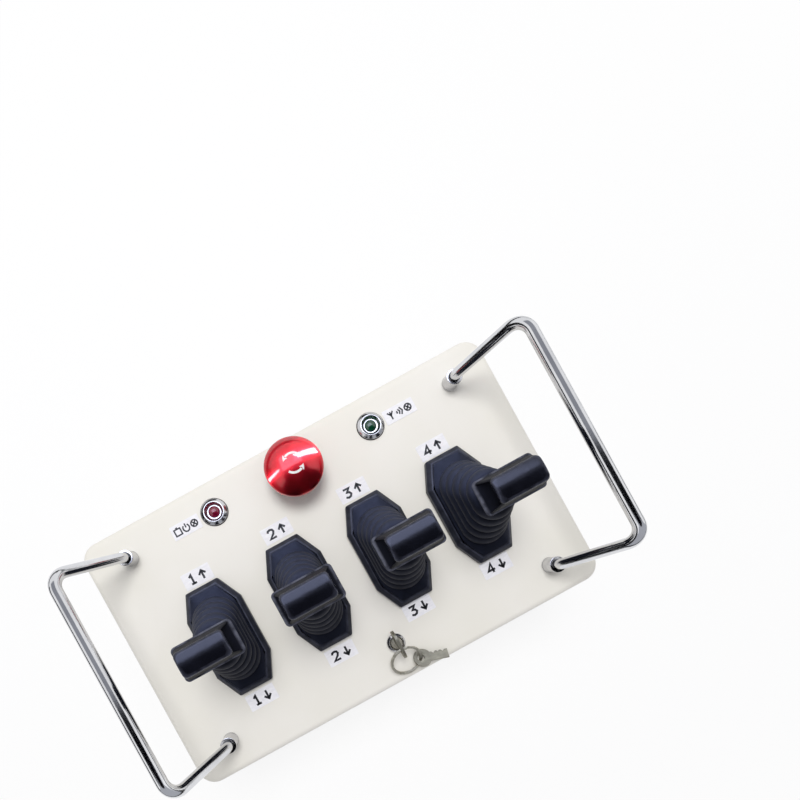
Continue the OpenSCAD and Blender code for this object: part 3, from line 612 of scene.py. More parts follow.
# Insides: moulded sensor shells, solder mask over woven glass, shrink sleeve, moulded contact block
SENSOR = Finish("green_moulded_nylon", "#23372a", "#2c4434", (0.42, 0.55), cloud_mm=6, grain_mm=0.7, grain=Grain.CELLS,
                bump_um=14)
MASK = Finish("green_solder_mask", "#1b6337", "#22743f", (0.25, 0.4), cloud_mm=4, grain_mm=0.5, bump_um=12,
              stretch=(3, 3, 1))
SLEEVE = Finish("blue_shrink_sleeve", "#2f4d7a", "#385a8c", (0.3, 0.42), cloud_mm=12, grain_mm=2.5, bump_um=25)
OCHRE = Finish("ochre_moulded_nylon", "#c29a26", "#b08a1e", (0.4, 0.52), cloud_mm=8, grain_mm=0.8, grain=Grain.CELLS,
               bump_um=14)

NODE_FINISH = {
    "lever": STEEL, "pivot_pin": STEEL, "joystick_frame": COLLAR, "centring_spring": WIRE, "sensor": SENSOR,
    "seam_gasket": FOOT, "shell_screws": ZINC, "handle_screws": ZINC, "joystick_screws": ZINC, "estop_stem": COLLAR,
    "estop_contact_block": OCHRE, "panel_nuts": ZINC, "key_plug": BRASS, "key": NICKEL,
    "spare_key": NICKEL, "circuit_board": MASK, "battery_pack": SLEEVE,
}


def add_object(name: str, data: bpy.types.ID) -> bpy.types.Object:
    """Puts data into a new object of the scene, at the origin.

    Args:
        name: Name of the object.
        data: Its mesh, light or camera.

    Returns:
        The object.
    """
    thing = bpy.data.objects.new(name, data)
    bpy.context.scene.collection.objects.link(thing)
    return thing


def make_piece(name: str, skin: Skin, finish: Finish, sharp: float = 38.0) -> bpy.types.Object:
    """Puts a skin into a mesh object at the origin.

    Args:
        name: Name of the piece.
        skin: Its surface in millimetres.
        finish: Its finish.
        sharp: Angle in degrees above which an edge is shaded sharp.

    Returns:
        The object, not yet riding on a body.
    """
    mesh = bpy.data.meshes.new(name)
    mesh.from_pydata((skin.points * MM).tolist(), [], skin.quads.tolist() + skin.tris.tolist())
    corners = np.concatenate([skin.quad_uv.reshape(-1), skin.tri_uv.reshape(-1)])
    mesh.uv_layers.new(name="UVMap").data.foreach_set("uv", corners.astype(np.float32))
    mesh.attributes.new("wear_and_highlight_weight", "FLOAT", "POINT").data.foreach_set("value", skin.wear_and_highlight_weight.astype(np.float32))
    mesh.materials.append(finish.make())
    mesh.shade_smooth()
    mesh.set_sharp_from_angle(angle=math.radians(sharp))
    mesh.update()
    piece = add_object(name, mesh)
    LOG.info("%s: %d points, %d faces", name, len(skin.points), len(skin.quads) + len(skin.tris))
    return piece


# Housing


@dataclass
class ShellHalf:
    """One half of the housing: a hollow tray with rounded corners and a rounded edge round its closed end."""

    node: str
    name: str
    closed_up: bool
    corner_r: float = 13.0
    edge_r: float = 5.0
    inner_r: float = 2.5
    wall: float = 3.0
    lip: float = 0.35
    corner_points: int = 13
    edge_points: int = 12
    face_rings: tuple[float, ...] = (0.04, 0.3, 0.6, 0.9)

    def build(self) -> None:
        """Builds the tray and dresses it."""
        piece = make_piece(self.name, close_grid(self.grid()), ENAMEL, sharp=50)
        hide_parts(self.node)
        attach(piece, HOUSING)

    def grid(self) -> Array:
        """Works out the tray as rings of a rounded rectangle.

        A ring is the four corner centres plus the corner radius less an inset, times the direction round the corner.
        The inset and height follow the profile: over the closed face, round the edge, down the wall, over the lip and
        back inside. On the faces the edge ring shrinks towards the middle.

        Returns:
            The grid of points.
        """
        low, high = span(self.node)
        angle = np.arange(4)[:, None] * QUARTER + np.linspace(0, QUARTER, self.corner_points)
        reach = (high - low)[:2] / 2 - self.corner_r
        corner = np.repeat(np.array([[1, 1], [-1, 1], [-1, -1], [1, -1]]) * reach, self.corner_points, 0)
        tall = high[2] - low[2]
        arc = np.linspace(QUARTER, 0, self.edge_points)
        edge, inner = (
            np.stack([inset + r * (1 - np.cos(arc)), tall - inset - r * (1 - np.sin(arc))], -1)
            for inset, r in ((0, self.edge_r), (self.wall, self.inner_r))
        )
        wall = [[0, tall / 2], [0, self.lip], [self.lip, 0], [self.wall, 0], [self.wall, tall / 2]]
        profile = np.vstack([edge, wall, inner[::-1]])
        rings = corner + (self.corner_r - profile[:, :1, None]) * compass(angle.reshape(-1))
        shrink = np.array(self.face_rings)[:, None, None]
        rings = np.concatenate([rings[0] * shrink, rings, rings[-1] * shrink[::-1]])
        face = np.full(len(shrink), tall)
        z = np.concatenate([face, profile[:, 1], face - self.wall])
        return raise_rings(rings + middle(self.node), low[2] + z if self.closed_up else high[2] - z)


@dataclass
class Underside:
    """Rubber feet and the plugs that close the screw wells in the floor."""

    foot_d: float = 18.0
    plug_r: float = 4.1
    plug_inset: float = 13.0
    plug_proud: float = 0.6
    plug_sunk: float = 1.0
    columns: int = 48

    def build(self) -> None:
        """Builds four feet and four plugs by turning their profiles."""
        _, high = span("rubber_feet")
        floor, far = span("bottom_shell")
        r, base, tip = self.foot_d / 2, floor[2], high[2]
        # A tapered pad, then a stem through the floor with a bead near its tip
        foot = [[0.5, 0], [r - 1, 0], [r, base], [3, base], [2.9, tip - 2], [3.5, tip - 1.9], [0.5, tip]]
        feet = turn_four(soften(foot, radius=0.8), high[0] - r, high[1] - r, self.columns)
        piece = make_piece("foot_pads", feet, FOOT)
        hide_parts("rubber_feet")
        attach(piece, HOUSING)
        r, face, end = self.plug_r, base - self.plug_proud, base + self.plug_sunk
        plug = [[0.4, face], [r - 0.5, face], [r, base - 0.1], [r, end], [0.4, end]]
        x, y = far[:2] - self.plug_inset
        plugs = turn_four(soften(plug, radius=0.3), x, y, self.columns)
        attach(make_piece("screw_well_plugs", plugs, FOOT), HOUSING)


@dataclass
class Handles:
    """Two bent rods in four ferrules. The rows of a rod's neck are heights over the ferrule's mouth."""

    rod_d: float = 7.5
    ferrule_d: float = 11.5
    ferrule_h: float = 12.0
    waist: float = 0.35
    bend_start: float = 13.0
    leg_bend_r: float = 10.0
    grip_bend_r: float = 11.0
    lean_deg: float = 31.0
    neck: float = 0.8
    neck_rows: tuple[float, ...] = (-3.0, -0.4, 0.0, 0.9)
    bend_lead: float = 0.3
    ferrule_columns: int = 56
    rod_columns: int = 32
    low_bend_points: int = 14
    top_bend_points: int = 18
    straight_points: int = 5
    straight_part: Pair = (0.1, 0.9)

    def build(self) -> None:
        """Builds the rods and the ferrules."""
        low, high = span("handle_ferrules")
        r, rod_r = self.ferrule_d / 2, self.rod_d / 2
        x, y, base = high[0] - r, high[1] - r, low[2]
        for side, name in ((1, "right"), (-1, "left")):
            skin = close_grid(self.rod(side, x, y, base))
            rod = make_piece(f"{name}_bent_rod", skin, CHROME, sharp=60)
            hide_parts(f"{name}_handle")
            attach(rod, HOUSING)
        # A foot band, a waist and a top band, then the mouth round the rod
        top, waist = base + self.ferrule_h, r - self.waist
        profile = soften([
            [0.5, base], [r, base], [r, base + 1.2], [waist, base + 1.6], [waist, top - 2.2], [r - 0.05, top - 1.8],
            [r - 0.05, top], [rod_r - 0.1, top], [rod_r - 0.3, top - 2], [0.5, top - 2],
        ], radius=0.5)
        piece = make_piece("rod_ferrules", turn_four(profile, x, y, self.ferrule_columns), FITTING)
        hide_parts("handle_ferrules")
        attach(piece, HOUSING)

    def rod(self, side: int, x: float, y: float, base: float) -> Array:
        """Carries the rod's circle along its bent line.

        Half the line is an upright end with a narrow neck, an arc that leans outwards, a straight leg, an arc in the
        leaning plane and half the grip. The other half mirrors it.

        Args:
            side: 1 for the right handle, -1 for the left.
            x: Place of the rod ends, across.
            y: Place of the rod ends, along.
            base: Height of the panel face.

        Returns:
            The grid of points.
        """
        lean = math.radians(self.lean_deg)
        low_r, top_r, count = self.leg_bend_r, self.grip_bend_r, self.straight_points
        reach = span("right_handle")[1][0] - self.rod_d / 2 - x
        leg = (reach - low_r * (1 - math.cos(lean))) / math.sin(lean)
        out, back = np.array([math.sin(lean), 0, math.cos(lean)]), np.array([0, -1.0, 0])
        mouth, bend = base + self.ferrule_h, base + self.bend_start
        z = np.append(mouth + np.array(self.neck_rows), bend + self.bend_lead)
        end = np.stack([0 * z, 0 * z + y, z], -1)
        a = np.linspace(0, lean, self.low_bend_points)[1:]
        low_arc = np.stack([low_r * (1 - np.cos(a)), 0 * a + y, bend + low_r * np.sin(a)], -1)
        b = np.linspace(0, QUARTER, self.top_bend_points)[:, None]
        run = (leg - top_r + top_r * np.sin(b)) * out
        top_arc = low_arc[-1] + run + top_r * (1 - np.cos(b)) * back
        share = np.linspace(*self.straight_part, count)[:, None]
        straight = low_arc[-1] + share * run[0]
        grip = top_arc[-1] * [1, 0, 1] + share[::-1] * top_arc[-1] * [0, 1, 0]
        half = np.vstack([end, low_arc, straight, top_arc, grip])
        leaning = np.stack([np.sin(a), 0 * a, np.cos(a)], -1)
        over = np.cos(b) * out + np.sin(b) * back
        upright, slanting, level = (np.tile(v, (k, 1)) for v, k in ((Z_AXIS, len(end)), (out, count), (back, count)))
        way = np.vstack([upright, leaning, slanting, over, level])
        radius = np.full(len(half), self.rod_d / 2)
        radius[1:len(self.neck_rows)] -= self.neck
        path = np.vstack([half, half[::-1] * [1, -1, 1]])
        way = np.vstack([way, way[::-1] * [-1, 1, -1]])
        off_plane = np.array([math.cos(lean), 0, -math.sin(lean)])
        grid = sweep(path, way, off_plane, np.append(radius, radius[::-1]), self.rod_columns)
        return (grid + [x, 0, 0]) * [side, 1, 1]


# Levers


@dataclass
class LeverUnit:
    """One lever as seen from outside: an eight-sided bezel, a folded boot and a paddle.

    The bezel's half width, half length and height and the lever's place come from the bezel's box. Rows of the boot's
    top are radius, straight half length and height over the top fold, and the row of its mouth is over the bezel. Rows
    of the lip are inset and height over the bezel. Rows of the paddle's foot are half width, half depth and height over
    the foot, and rows of its rim and its wall's start are inset and height over the rim. The scoop runs between a
    height over the rim and one under the face, and comes in over a part of the half width. Rings that close a level end
    are parts of the ring round it. A band painted paler, as wear and as a highlight, has a depth under its edge and a
    spread.
    """

    number: int
    cut_x: float = 9.0
    cut_y: float = 19.0
    bevel: float = 3.0
    land: float = 1.2
    corner_r: float = 1.4
    corner_points: int = 6
    opening_gap: float = 0.3
    edge_wear_and_highlight_spread: Pair = (0.6, 0.5)
    foot_wear_and_highlight: float = 0.8
    corner_power: int = 40
    boot_rx: float = 17.5
    boot_ry: float = 32.0
    boot_top_r: float = 12.5
    boot_top_straight: float = 0.5
    boot_h: float = 49.0
    boot_columns: int = 144
    boot_top: tuple[tuple[float, float, float], ...] = (
        (10.6, 0.4, 1.2), (8.2, 0.1, 2.0), (7.4, 0.02, 2.8), (7.4, 0.02, 5.2), (7.0, 0.02, 5.6), (4.6, 0.02, 5.6),
        (4.5, 0.02, 1.0), (9.2, 0.4, -2.0),
    )
    boot_mouth: tuple[float, float, float] = (13.4, 13.5, -0.5)
    bend_from: float = 9.0
    bend_past: float = 2.0
    folds: int = 5
    fold_points: int = 16
    fold_depth: float = 1.5
    fold_crest_pale_tone: float = 0.8
    flange_inset: float = 4.2
    flange_rise: float = 3.4
    flange_points: int = 5
    lip: tuple[Pair, ...] = ((0.8, -0.5), (0, -0.1), (0, 0.45), (0.25, 0.8), (0.7, 0.95))
    lip_pale_tone: tuple[float, ...] = (0, 0.2, 0.7, 0.5, 0)
    rim_h: float = 16.0
    top_w: float = 30.5
    top_d: float = 15.5
    paddle_foot: tuple[tuple[float, float, float], ...] = ((9.5, 5.5, 0), (11, 6.9, 0.4), (11.5, 7.25, 1.4))
    paddle_rim: tuple[Pair, ...] = (
        (1.4, -2.5), (0.5, -1.95), (0.1, -1.4), (0, -0.6), (0.12, -0.15), (0.45, 0.1), (0.9, 0.15),
    )
    rim_wear_and_highlight: Pair = (0.2, 0.45)
    paddle_corner_r: float = 2.8
    paddle_points: int = 30
    wall_start: Pair = (1.0, 0.4)
    wall_points: int = 25
    wall_rings: tuple[float, ...] = (0.9, 0.5, 0.1)
    crown: float = 1.4
    scoop: float = 3.8
    scoop_between: Pair = (0.35, 0.2)
    scoop_power: float = 0.8
    scoop_ends: Pair = (0.7, 0.2)
    side_wall: float = 0.9
    roll: float = 1.4
    roll_h: float = 1.0
    roll_points: int = 8
    roll_wear_and_highlight: Pair = (0.3, 0.1)
    face_rings: tuple[float, ...] = (0.9, 0.75, 0.5, 0.25, 0.05)
    under_rings: tuple[float, ...] = (0.1, 0.6)
    face_gap: float = 0.15
    face_sunk: float = 0.3
    centre: Array = field(init=False)
    panel: float = field(init=False)
    half_w: float = field(init=False)
    half_l: float = field(init=False)
    tall: float = field(init=False)

    def __post_init__(self) -> None:
        """Takes place and size from the bezel."""
        low, high = span(f"bezel_{self.number}")
        self.centre, self.panel = middle(f"bezel_{self.number}"), float(low[2])
        self.half_w, self.half_l, self.tall = (high - low) / [2, 2, 1]

    def build(self) -> None:
        """Builds and dresses the bezel, the paddle's two pieces and the boot."""
        body = f"lever_{self.number}_group"
        rim = make_piece(f"bezel_rim_{self.number}", self.rim_skin(), BEZEL, sharp=30)
        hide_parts(f"bezel_{self.number}")
        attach(rim, HOUSING)
        grip = make_piece(f"paddle_sides_{self.number}", self.paddle_sides(), PADDLE, sharp=40)
        cap = make_piece(f"paddle_face_{self.number}", self.paddle_face(), FACE, sharp=40)
        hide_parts(f"paddle_{self.number}")
        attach(grip, body)
        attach(cap, body)
        boot = make_piece(f"folded_boot_{self.number}", self.boot_skin(), BOOT, sharp=70)
        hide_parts(f"boot_{self.number}")
        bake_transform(boot)

    def place(self, grid: Array) -> Array:
        """Moves a grid from the lever's own middle to its place on the panel."""
        return grid + np.array([*self.centre, self.panel])

    def rim_skin(self) -> Skin:
        """Works out the bezel as rings of an octagon that end in the boot's long opening.

        A ring's corner is the octagon's corner moved inwards along its two sides, then rounded by a short arc between
        the sides' directions. The opening's ring is where a ray at the same angle meets a circle drawn out along Y.
        The paler edge, wear and painted highlight, is a bell curve of the distance from the bevel's two edges.

        Returns:
            The ring-shaped skin.
        """
        w, l, tall, bevel = self.half_w, self.half_l, self.tall, self.bevel
        cx, cy = w - self.cut_x, l - self.cut_y
        corners = np.array([[cx, -l], [w, -cy], [w, cy], [cx, l], [-cx, l], [-w, cy], [-w, -cy], [-cx, -l]])
        side = np.roll(corners, -1, 0) - corners
        after = unit(np.stack([side[:, 1], -side[:, 0]], -1))
        before = np.roll(after, 1, 0)
        t = np.linspace(0, 1, self.corner_points)[None, :, None]
        fan = unit(before[:, None] * (1 - t) + after[:, None] * t)
        miter = (before + after) / (1 + np.einsum("ij,ij->i", before, after))[:, None]
        # A cut foot, the wall, the bevel and the land
        outer = [[0.5, 0], [0, 0.5], [0, tall - bevel], [bevel, tall], [bevel + self.land, tall]]
        outer = soften(outer, radius=0.7, steps=6)
        inset, height = outer.T
        hub = corners - (inset[:, None, None] + self.corner_r) * miter
        rings = raise_rings((hub[:, :, None] + self.corner_r * fan).reshape(len(outer), -1, 2), height)
        angle = np.arctan2(rings[-1, :, 1], rings[-1, :, 0])
        # A flared mouth, a straight bore and a slightly wider foot
        hole = soften([[1.6, tall], [0, tall - 0.9], [0, 2.2], [0.3, 0]], radius=0.5)
        inner = raise_rings(self.opening(angle, self.boot_rx + self.opening_gap + hole[:, 0]), hole[:, 1])
        # Painted highlight and wear: both edges of the bevel are painted paler
        top_edge = np.exp(-((height - tall) ** 2 + (inset - bevel) ** 2) / self.edge_wear_and_highlight_spread[0])
        low_edge = np.exp(-((height - tall + bevel) ** 2 + inset**2) / self.edge_wear_and_highlight_spread[1])
        wear_and_highlight_weight = np.append(np.clip(top_edge + self.foot_wear_and_highlight * low_edge, 0, 1), 0 * hole[:, 0])
        return close_grid(self.place(np.concatenate([rings, inner])), wear_and_highlight_weight, loop_rows=True)

    def opening(self, angle: Array, radius: Array) -> Array:
        """Finds where rays from the middle meet a circle drawn out along Y.

        A ray meets the straight side at the radius over its cosine. Where that lies past the straight part it meets
        the end circle instead, by the quadratic formula.

        Args:
            angle: Angle of each ray.
            radius: Radius of each ring.

        Returns:
            Rings of X and Y.
        """
        straight = self.boot_ry - self.boot_rx
        c, s = np.abs(np.cos(angle)), np.abs(np.sin(angle))
        r = radius[:, None]
        side = r / np.maximum(c, TINY)
        end = straight * s + np.sqrt(np.maximum(r**2 - (straight * c) ** 2, 0))
        reach = np.where(side * s <= straight, side, end)
        return reach[..., None] * compass(angle)

    def boot_skin(self) -> Skin:
        """Works out the boot as rings of a circle drawn out along Y, on an eight-sided flange.

        The flange's rings run in straight lines from the octagon to the lowest crease. Above it radius, straight length
        and height run in straight lines to the top fold. On them rides a row of half circles that meet in creases. A
        collar closes the top.

        Returns:
            The closed skin, hollow inside.
        """
        half_turn = np.linspace(0, np.pi, self.fold_points + 1)[:-1]
        t = (np.arange(self.folds)[:, None] + (1 - np.cos(half_turn)) / 2).reshape(-1) / self.folds
        t = np.append(t, 1.0)
        bulge = np.append(np.tile(np.sin(half_turn), self.folds), 0.0)
        foot = np.array([self.boot_rx - self.fold_depth, self.boot_ry - self.boot_rx, self.tall + self.flange_rise])
        end = np.array([self.boot_top_r, self.boot_top_straight, self.boot_h])
        folds = foot + (end - foot) * t[:, None]
        folds[:, 0] += self.fold_depth * (2 * bulge - 1)
        top = np.array(self.boot_top) + [0, 0, self.boot_h]
        mouth = np.array([self.boot_mouth]) + [0, 0, self.tall]
        r, s, z = np.hsplit(np.vstack([folds, top, mouth]), 3)
        a = (np.arange(self.boot_columns) + 0.5) * 2 * np.pi / self.boot_columns
        grid = np.stack([r * np.cos(a), r * np.sin(a) + s * np.sign(np.sin(a)), z + 0 * a], -1)
        lip = np.array(self.lip)
        angle = np.arctan2(grid[0, :, 1], grid[0, :, 0])
        reach = self.octagon_reach(angle, self.flange_inset + lip[:, :1])
        edge = raise_rings(reach[..., None] * compass(angle), self.tall + lip[:, 1])
        u = np.linspace(0, 1, self.flange_points + 2)[1:-1, None, None]
        flange = np.concatenate([edge, edge[-1] * (1 - u) + grid[0] * u])
        plain, closed = np.zeros(self.flange_points), np.zeros(len(top) + len(mouth))
        # The fold crests and the flange's lip are painted faintly paler
        wear_and_highlight_weight = np.concatenate([self.lip_pale_tone, plain, self.fold_crest_pale_tone * bulge**3, closed])
        return close_grid(self.place(np.concatenate([flange, grid])), wear_and_highlight_weight, loop_rows=True)

    def octagon_reach(self, angle: Array, inset: Array) -> Array:
        """Finds how far the bezel's octagon reaches at each angle once its sides are moved in.

        A side reaches its distance from the middle over the cosine to its normal. The nearest side counts, and a high
        power mean of the three kinds of side rounds the corners.

        Args:
            angle: Angle of each ray.
            inset: How far the sides are moved in, for each ring.

        Returns:
            The reach for each ring and ray.
        """
        w, l = self.half_w, self.half_l
        c, s = np.abs(np.cos(angle)), np.abs(np.sin(angle))
        slant = math.hypot(self.cut_x, self.cut_y)
        away = (self.cut_y * w + self.cut_x * (l - self.cut_y)) / slant
        cut = (self.cut_y * c + self.cut_x * s) / slant / (away - inset)
        shares = np.stack([c / (w - inset), s / (l - inset), cut])
        return (shares**self.corner_power).sum(0) ** (-1 / self.corner_power)

    def face_edge(self) -> float:
        """Gives the height of the face's edge over the panel, under its crown."""
        return span(f"paddle_{self.number}")[1][2] - self.panel - self.crown

    def wall_end(self) -> Array:
        """Gives half width, half depth and height where the paddle's walls meet its face."""
        return np.array([self.top_w / 2, self.top_d / 2, self.face_edge() - self.roll_h])

    def paddle_sides(self) -> Skin:
        """Works out the paddle's sides as rounded rectangles stacked from its foot to its face.

        Half width and half depth run in straight lines from foot to rim and from rim to face. Both ends are scooped:
        their X moves inwards by a parabola between rim and face, faded out close to the two side walls.

        Returns:
            The closed skin.
        """
        low, high = span(f"paddle_{self.number}")
        w, d = (high - low)[:2] / 2
        foot, end = low[2] - self.panel, self.wall_end()
        rim = foot + self.rim_h
        stem = np.array(self.paddle_foot) + [0, 0, foot]
        inset, height = np.array(self.paddle_rim).T
        lip = np.stack([w - inset, d - inset, rim + height], -1)
        inset, height = self.wall_start
        start = np.array([w - inset, d - inset, rim + height])
        wall = start + (end - start) * np.linspace(0, 1, self.wall_points + 1)[1:, None]
        rows = np.vstack([stem, lip, wall, self.level_rows(end, self.wall_rings, end[2])])
        plan = self.paddle_rings(rows)
        half_x, half_y, z = np.hsplit(rows, 3)
        part = ((z - rim - self.scoop_between[0]) / (end[2] - self.scoop_between[1] - rim)).clip(0, 1)
        bow = 4 * part**self.scoop_power * (1 - part)
        fade = np.clip((half_y - self.side_wall - np.abs(plan[:, :, 1])) / self.side_wall, 0, 1)
        ends = np.clip((np.abs(plan[:, :, 0]) / half_x - self.scoop_ends[0]) / self.scoop_ends[1], 0, 1)
        plan[:, :, 0] -= np.sign(plan[:, :, 0]) * self.scoop * bow * fade * ends
        # Painted highlight and wear: a pale band along the rim
        wear_and_highlight_weight = (np.abs(rows[:, 2] - rim + self.rim_wear_and_highlight[0]) < self.rim_wear_and_highlight[1]).astype(float)
        return close_grid(self.place(raise_rings(plan, z)), wear_and_highlight_weight)

    def paddle_face(self) -> Skin:
        """Works out the paddle's face as rounded rectangles over its rolled edge, raised by a parabola along Y.

        The roll is a quarter of an ellipse. The face has an underside of its own, sunk in the sides.

        Returns:
            The closed skin.
        """
        edge, end = self.face_edge(), self.wall_end()
        turn_over = np.linspace(0, QUARTER, self.roll_points)[:, None]
        draw_in = -self.roll * (1 - np.cos(turn_over))
        over = end + np.hstack([draw_in, draw_in, self.roll_h * np.sin(turn_over)])
        below = self.level_rows(end, self.under_rings, end[2] - self.face_sunk)
        skirt = end - [self.face_gap, self.face_gap, self.face_sunk]
        rows = np.vstack([below, skirt, over, self.level_rows(over[-1], self.face_rings, edge)])
        plan = self.paddle_rings(rows)
        lift = np.clip((rows[:, 2:] - end[2]) / self.roll_h, 0, 1)
        z = rows[:, 2:] + self.crown * lift * (1 - (plan[:, :, 1] / (self.top_d / 2)) ** 2).clip(0)
        # Painted highlight and wear: a pale band just under the face's rolled edge
        depth, spread = self.roll_wear_and_highlight
        wear_and_highlight_weight = np.exp(-((rows[:, 2] - edge + depth) ** 2) / spread) * (rows[:, 0] >= over[-1, 0])
        return close_grid(self.place(raise_rings(plan, z)), wear_and_highlight_weight)

    @staticmethod
    def level_rows(outer: Array, shares: tuple[float, ...], height: float) -> Array:
        """Gives rows of half width, half depth and height that shrink a ring by its shares at one height."""
        return np.hstack([outer[:2] * np.array(shares)[:, None], np.full((len(shares), 1), height)])

    def paddle_rings(self, rows: Array) -> Array:
        """Draws the paddle's rounded rectangles from rows of half width and half depth."""
        return rounded_rings(rows[:, 0], rows[:, 1], self.paddle_corner_r, self.paddle_points)


# Stop button, lamps and key switch


@dataclass
class StopButton:
    """A red mushroom on a black collar, with two white arrows that show the way it twists.

    The arrow's rows are start, end and count along its length: on the shaft, at the barbs and on the head.
    """

    band: float = 4.5
    shoulder: float = 0.5
    skirt_t: float = 3.5
    hollow: float = 1.1
    foot_cut: float = 0.6
    dome_tip: float = 0.004
    dome_rows: int = 40
    head_columns: int = 128
    collar_columns: int = 96
    stem_gap_r: float = 6.1
    shank_r: float = 11.0
    arrow_starts: Pair = (35, 215)
    arrow_r: float = 6.6
    arrow_rows: tuple[tuple[float, float, int], ...] = ((0, 0.74, 24), (0.741, 0.741, 1), (0.78, 1, 8))
    arrow_half: float = 0.75
    head_half: float = 1.9
    head_span: float = 0.26
    tip_half: float = 0.05
    ink_over: float = 0.05
    ink_under: float = 0.12
    arrow_span_deg: float = 112.0
    spring_wire: float = 0.6
    spring_turns: int = 5
    turn_points: int = 40
    wire_columns: int = 12
    travel: float = 4.5

    def ball(self) -> float:
        """Works out the sphere through the head's band and its top.

        Its radius is the squares of the band's radius and of the dome's rise, added, over twice the rise.

        Returns:
            The dome's radius.
        """
        _, _, r, base, top = round_node("estop_head")
        rise = top - base - self.band
        return (r**2 + rise**2) / (2 * rise)

    def build(self) -> None:
        """Builds the mushroom, its arrows, its collar and its spring."""
        x, y, r, base, top = round_node("estop_head")
        ball = self.ball()
        dome = dome_profile(ball, r - self.shoulder, top, self.dome_tip, self.dome_rows)
        under, inside = base + self.hollow, r - self.skirt_t
        skirt = soften([
            [2, under], [inside, under], [inside, base], [r - self.foot_cut, base], [r, base + self.foot_cut],
            [r, base + self.band - self.shoulder], dome[0],
        ], radius=0.45)
        cap = close_grid(turn(np.vstack([skirt, dome[1:]]), x, y, self.head_columns))
        head = make_piece("stop_mushroom", cap, DYED, sharp=50)
        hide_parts("estop_head")
        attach(head, "stop_head")
        arrows = gather([close_grid(self.arrow(start, ball, top - ball, x, y)) for start in self.arrow_starts])
        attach(make_piece("twist_arrows", arrows, WHITE_INK), "stop_head")
        _, _, r, foot, crown = round_node("estop_body")
        panel = panel_height()
        # A tapered crown on a shank through the panel
        collar = soften([
            [self.stem_gap_r, crown], [r - 1.5, crown], [r - 0.2, panel + 1], [r, panel], [self.shank_r, panel],
            [self.shank_r, foot], [self.stem_gap_r, foot],
        ], radius=0.5)
        tube = close_grid(turn(collar, x, y, self.collar_columns), loop_rows=True)
        piece = make_piece("stop_collar", tube, COLLAR)
        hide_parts("estop_body")
        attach(piece, HOUSING)
        self.spring()

    def spring(self) -> None:
        """Winds the return spring as a helix."""
        x, y, r, low, high = round_node("estop_spring")
        wire = self.spring_wire
        t = np.linspace(0, 1, self.turn_points * self.spring_turns)
        a = 2 * np.pi * self.spring_turns * t
        z = low + wire + (high - low - 2 * wire) * t
        path = np.stack([x + (r - wire) * np.cos(a), y + (r - wire) * np.sin(a), z], -1)
        along = unit(np.gradient(path, axis=0))
        skin = close_grid(sweep(path, along, Z_AXIS, wire, self.wire_columns))
        coil = make_piece("return_spring", skin, WIRE)
        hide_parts("estop_spring")
        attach(coil, HOUSING)
        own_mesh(coil)

    def arrow(self, start_deg: float, ball: float, hub_z: float, x: float, y: float) -> Array:
        """Lays an arrow along a circle on the dome.

        Columns are the four corners of a thin strip. Rows run along the arc. The half width is even and then opens to
        the arrow's head and closes to its point. Heights follow the dome's sphere, a little above and below it.

        Args:
            start_deg: Angle at which the arrow starts.
            ball: Radius of the dome.
            hub_z: Height of the dome's centre.
            x: Middle of the button, across.
            y: Middle of the button, along.

        Returns:
            The grid of points.
        """
        t = np.concatenate([np.linspace(*rows) for rows in self.arrow_rows])
        barbs = self.arrow_rows[1][0]
        half = np.where(t < barbs, self.arrow_half, self.head_half * (1 - (t - barbs) / self.head_span))
        half = np.maximum(half, self.tip_half)
        a = np.radians(start_deg + self.arrow_span_deg * t)[:, None]
        r = self.arrow_r + np.array([-1, -1, 1, 1]) * half[:, None]
        lift = np.array([-self.ink_under, self.ink_over, self.ink_over, -self.ink_under])
        z = hub_z + np.sqrt(ball**2 - r**2) + lift
        return np.stack([x + r * np.cos(a), y + r * np.sin(a), z], -1)


